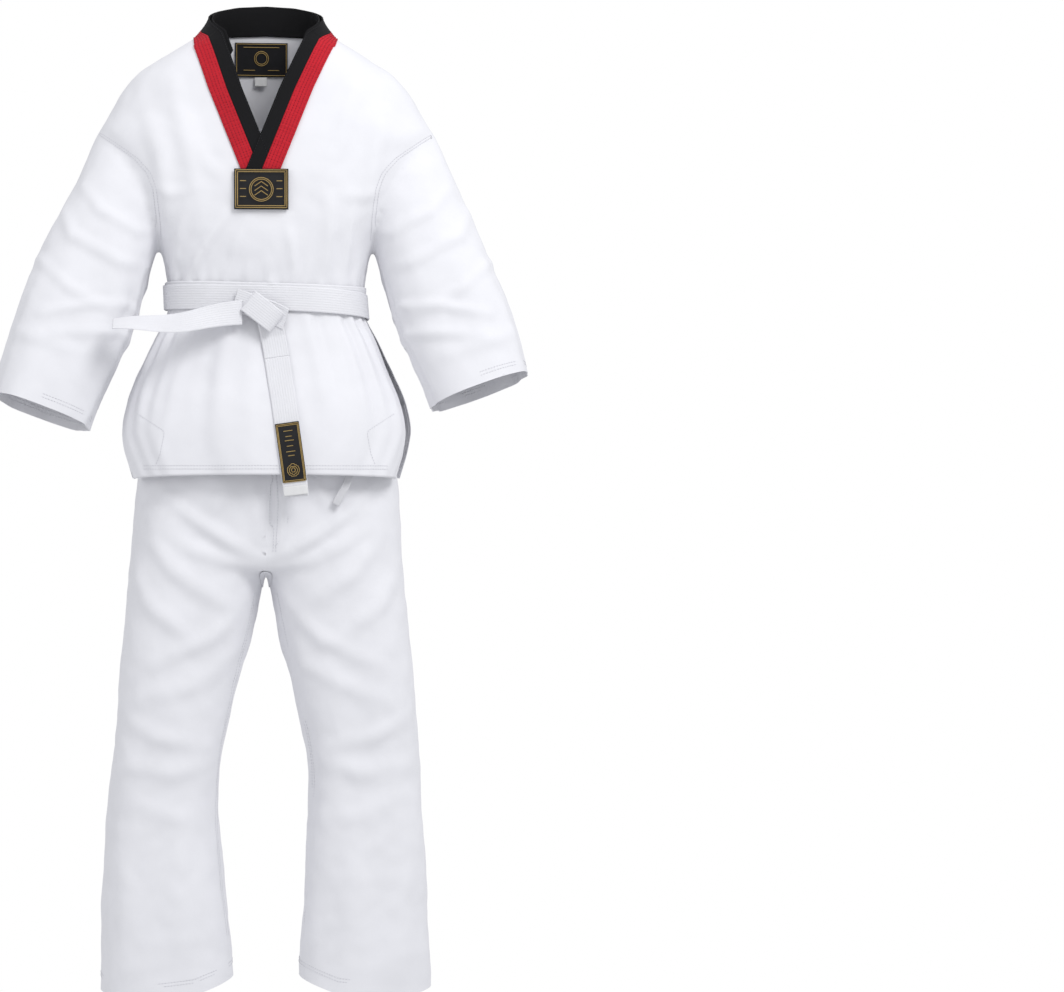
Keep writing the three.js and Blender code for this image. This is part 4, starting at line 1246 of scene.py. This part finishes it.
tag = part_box("size_tag")
tx, tz = np.meshgrid(np.linspace(tag[0][0], tag[1][0], 14), np.linspace(tag[0][2], tag[1][2], 12))
ty = (tag[0][1] + tag[1][1]) / 2 - 0.0004 + 0.0004 * np.sin(tx * 300)
tag_obj = grid_object("size_tag_cloth", np.stack([tx, ty, tz], -1))
thicken(tag_obj, 0.0007)
finish_piece(tag_obj, label_white, "size_tag", replaces=["size_tag"])

# ---- Vent facings, gusset, waistband and drawstrings ----
for side, word in FACES:
    panel = tree_of(skirts[side])
    for hand, which in HANDS:
        rows_, cols = 40, 12
        hs = np.linspace(SKIRT_HEM + 4, 900, rows_)
        grid = np.zeros((rows_, cols, 3))
        for i, h in enumerate(hs):
            half, deep = hermite(SKIRT, h)
            for j, y in enumerate(np.linspace(6.5, 36, cols)):
                x = half * (1 - (y / deep) ** BOXINESS) ** (1 / BOXINESS)
                p = metres([hand * x, side * y, h])
                hit, n, _, _ = panel.find_nearest(Vector(p))
                inward = Vector((-hand, -side * 0.2, 0))
                if n.dot(inward) < 0:
                    n = -n
                grid[i, j] = hit + inward.normalized() * 0.0021
        obj = grid_object("%s_facing_%s" % (word, which), grid)
        relax(obj, 3)
        thicken(obj, 0.0009)
        finish_piece(obj, canvas, blend=SKIRT_BLEND[side],
                     replaces=["%s_vent_facing_%s" % (word, which)])

crotch = tree_of(*leg_pieces.values())
gu = []
for v in np.linspace(-1, 1, 44):
    y = v * 58
    top = crotch.ray_cast(Vector(metres([0, y, 540])), Vector((0, 0, 1)), 0.2)[0]
    centre = Vector((0, y / 1000, (top.z if top else metres([0, 0, 636])[2]) - 0.020))
    row = []
    for u in np.linspace(-1, 1, 40):
        a = u * math.radians(78) * (1 - abs(v) ** 1.4 * 0.9)
        look = Vector((math.sin(a), 0, math.cos(a)))
        hit = crotch.ray_cast(centre, look, 0.06)[0]
        row.append(tuple((hit if hit else centre + look * 0.02) - look * 0.0012))
    gu.append(row)
gusset = grid_object("gusset_cloth", np.array(gu))
relax(gusset, 6)
thicken(gusset, 0.001)
finish_piece(gusset, canvas, "trousers", replaces=["crotch_gusset"])


def waist_ring(name, low, high, outset, gathers, mat, node_name):
    a = np.linspace(0, 2 * math.pi, 360, endpoint=False)
    waist = [(level, 138.7 + 4, 93.7 + 4) for level in (900, 1100)]
    hs = np.linspace(low, high, 14)
    rows_ = []
    for h in hs:
        swell = gathers * np.sin(a * 61) * math.sin(math.pi * (h - low) / (high - low))
        p = on_profile(waist, a, np.full(360, h), outset)
        d = np.stack([np.cos(a), np.sin(a), np.zeros(360)], -1)
        rows_.append(p + d * swell[:, None])
    obj = grid_object(name, metres(np.array(rows_)), wrap=True)
    thicken(obj, 0.0012)
    outward(obj)
    finish_piece(obj, mat, "trousers", replaces=[node_name])


waist_ring("waistband_cloth", 1003, 1046, 2.0, 0.7, canvas, "waistband_casing")
waist_ring("waist_elastic_band", 1012, 1042, -1.6, 0.3, elastic_mat, "waist_elastic")

LEFT_TAPE = [(20, -98.9, 33), (20, -102.8, 34.5), (20.5, -103.1, 41.5), (22, -99.8, 49), (25, -97.7, 57),
             (31, -97.6, 72), (40, -100, 90), (54, -103.5, 109), (72, -106, 130), (92, -107, 150),
             (112, -106, 174), (126, -105, 200), (132, -104, 226), (130, -104, 250), (122, -105, 272),
             (112, -107, 290), (105, -108, 302)]
RIGHT_TAPE = [(-20, -98.9, 33), (-20, -102.8, 34.5), (-20.5, -103.1, 41.5), (-21.5, -99.8, 49),
              (-23.5, -97.7, 57), (-27, -97.6, 72), (-31, -101, 92), (-35, -106, 114), (-39, -110.5, 138),
              (-42, -113.5, 164), (-43, -116, 190), (-42, -117, 216), (-40, -117, 242)]


def tape(name, route, node_name):
    line = catmull(np.array(route, float) * [1, 1, -1], 160) / 1000
    d = np.gradient(line, axis=0)
    d /= np.linalg.norm(d, axis=1, keepdims=True)
    across = np.cross(d, [0, 1.0, 0])
    across /= np.linalg.norm(across, axis=1, keepdims=True)
    obj = strip(name, line, across, 0.012, 0.0016, tape_mat, "tape", body="trousers", replaces=[node_name],
                rows=4)
    tuple(line[0])
    [tuple(p) for p in line]


tape("drawstring_left", LEFT_TAPE, "drawstring_left_end")
tape("drawstring_right", RIGHT_TAPE, "drawstring_right_end")

# ---- Stitch rows ----
for s, side in HANDS:
    sleeve_tree = tree_of(jacket_pieces[side + "_sleeve_cloth"])
    for y_side, body_tree, word in ((-1, front_tree, "front"), (1, back_tree, "back")):
        lines = []
        for offset in (-3.0, -9.0):
            hs = np.linspace(1150, 1316, 50)
            line = np.array(SEAM, float)
            xs = np.interp(hs, line[:, 0], line[:, 1]) + offset
            xs = np.minimum(xs, hermite(JACKET, hs)[..., 0] * 0.985)
            lines.append(metres(on_face(JACKET, xs, hs, y_side) * [s, 1, 1]))
        stitches("shoulder_stitches_%s_%s" % (side, word), lines, body_tree, np.array([0.3 * s, y_side, 0.2]),
                 thread_white, body="jacket", radius=0.0005)
    cuffs = []
    for up_ in (12, 17):
        a = np.linspace(0, 2 * math.pi, 90)
        cuffs.append(metres(sleeve_points(SLEEVE_LENGTH[s] - up_, a, s)))
    stitches("cuff_stitches_" + side, cuffs, sleeve_tree, None, thread_white, blend=SLEEVE_BLEND[s])
    leg_tree = tree_of(leg_pieces["trousers_" + side + "_cloth"])
    hems = []
    for up_ in (20, 25):
        a = np.linspace(0, 2 * math.pi, 120)
        p = leg_points(0, a, s)
        p[:, 2] = hem_height(np.abs(p[:, 0])) + up_
        hems.append(metres(p))
    stitches("hem_stitches_" + side, hems, leg_tree, None, thread_white, blend=LEG_BLEND[s])
    inseam = []
    for angle in (180 - 14, 180 - 20):
        hs = np.linspace(610, 30, 120)
        a = math.radians(-angle if s > 0 else -(180 - angle))
        inseam.append(metres(leg_points(hs, a, s)))
    stitches("inseam_stitches_" + side, inseam, leg_tree, None, thread_white, blend=LEG_BLEND[s])
for side, word in FACES:
    panel = tree_of(skirts[side])
    lines = []
    for up_ in (14, 19):
        xs = np.linspace(-186, 186, 130)
        lines.append(metres(on_face(SKIRT, xs, np.full(130, SKIRT_HEM + up_ - 3.0), side)))
    for hand in (1, -1):
        corner = [(hand * x, 0, h) for x, h in ((196, 884), (153, 856), (160, 820), (166, 806))]
        line = resample(corner, 4)
        lines.append(metres(on_face(SKIRT, line[:, 0], line[:, 2], side)))
    stitches("skirt_stitches_" + word, lines, panel, np.array([0, side, 0]), thread_white,
             blend=SKIRT_BLEND[side])
seat_tree = tree_of(*leg_pieces.values())
lines = [metres(on_face(SEAT, np.full(60, x), np.linspace(800, 672, 60), -1)) for x in (9, 15)]
lines += [metres(on_face(SEAT, np.full(60, x), np.linspace(960, 672, 60), 1)) for x in (-3, 3)]
fly = catmull([(34, 0, 800), (35, 0, 750), (32, 0, 716), (22, 0, 692), (12, 0, 680)], 50)
lines.append(metres(on_face(SEAT, fly[:, 0], fly[:, 2], -1)))
stitches("seat_stitches", lines, seat_tree, None, thread_white, body="trousers")

# ---- Printed arch on the back: nine plain dotted blocks ----
DOT_RADIUS, DOT_SIDES = 0.0027, 8


def back_print():
    verts, faces = [], []
    for block in range(9):
        middle = math.radians(-70 + 17.5 * block)
        for i in range(5):
            for j in range(7):
                r, a = 132 + 6.8 * j, middle + (i - 2) * math.radians(2.9)
                x, h = r * math.sin(a), 1232 + r * math.cos(a)
                start = on_face(JACKET, np.array([x]), np.array([h]), 1)
                p, n = (v[0] for v in lay_on(back_tree, metres(start), 0.0006, (0, 1, 0)))
                u = np.cross(n, [0, 0, 1.0])
                u /= np.linalg.norm(u)
                v = np.cross(n, u)
                faces.append(tuple(len(verts) + k for k in range(DOT_SIDES)))
                verts += [p + DOT_RADIUS * (math.cos(q) * u + math.sin(q) * v)
                          for q in np.linspace(0, 2 * math.pi, DOT_SIDES + 1)[:-1]]
    finish_piece(mesh_object("back_print_dots", verts, faces), print_ink, "jacket")


back_print()

# ---- Light ----
world = bpy.data.worlds.new("world")
bpy.context.scene.world = world
world.use_nodes = True
tree = world.node_tree
background = tree.nodes["Background"]
background.inputs["Color"].default_value = (0.96, 0.97, 1.0, 1)
background.inputs["Strength"].default_value = 0.75
white = node(tree, "ShaderNodeBackground", Color=(1, 1, 1, 1), Strength=1.0)
seen = node(tree, "ShaderNodeLightPath")
mix = node(tree, "ShaderNodeMixShader")
tree.links.new(seen.outputs["Is Camera Ray"], mix.inputs["Fac"])
tree.links.new(background.outputs[0], mix.inputs[1])
tree.links.new(white.outputs[0], mix.inputs[2])
tree.links.new(mix.outputs[0], tree.nodes["World Output"].inputs["Surface"])
bpy.context.scene.view_settings.view_transform = "Standard"


def area_light(name, where, target, size, power):
    light = bpy.data.lights.new(name, "AREA")
    light.shape, light.size, light.energy = "DISK", size, power
    obj = bpy.data.objects.new(name, light)
    bpy.context.scene.collection.objects.link(obj)
    obj.location = where
    obj.rotation_euler = (Vector(target) - Vector(where)).to_track_quat("-Z", "Y").to_euler()


area_light("key", (1.6, -2.6, 2.3), (0, 0, -0.1), 1.6, 70)
area_light("fill", (-2.4, -2.0, 0.6), (0, 0, -0.3), 1.4, 9)
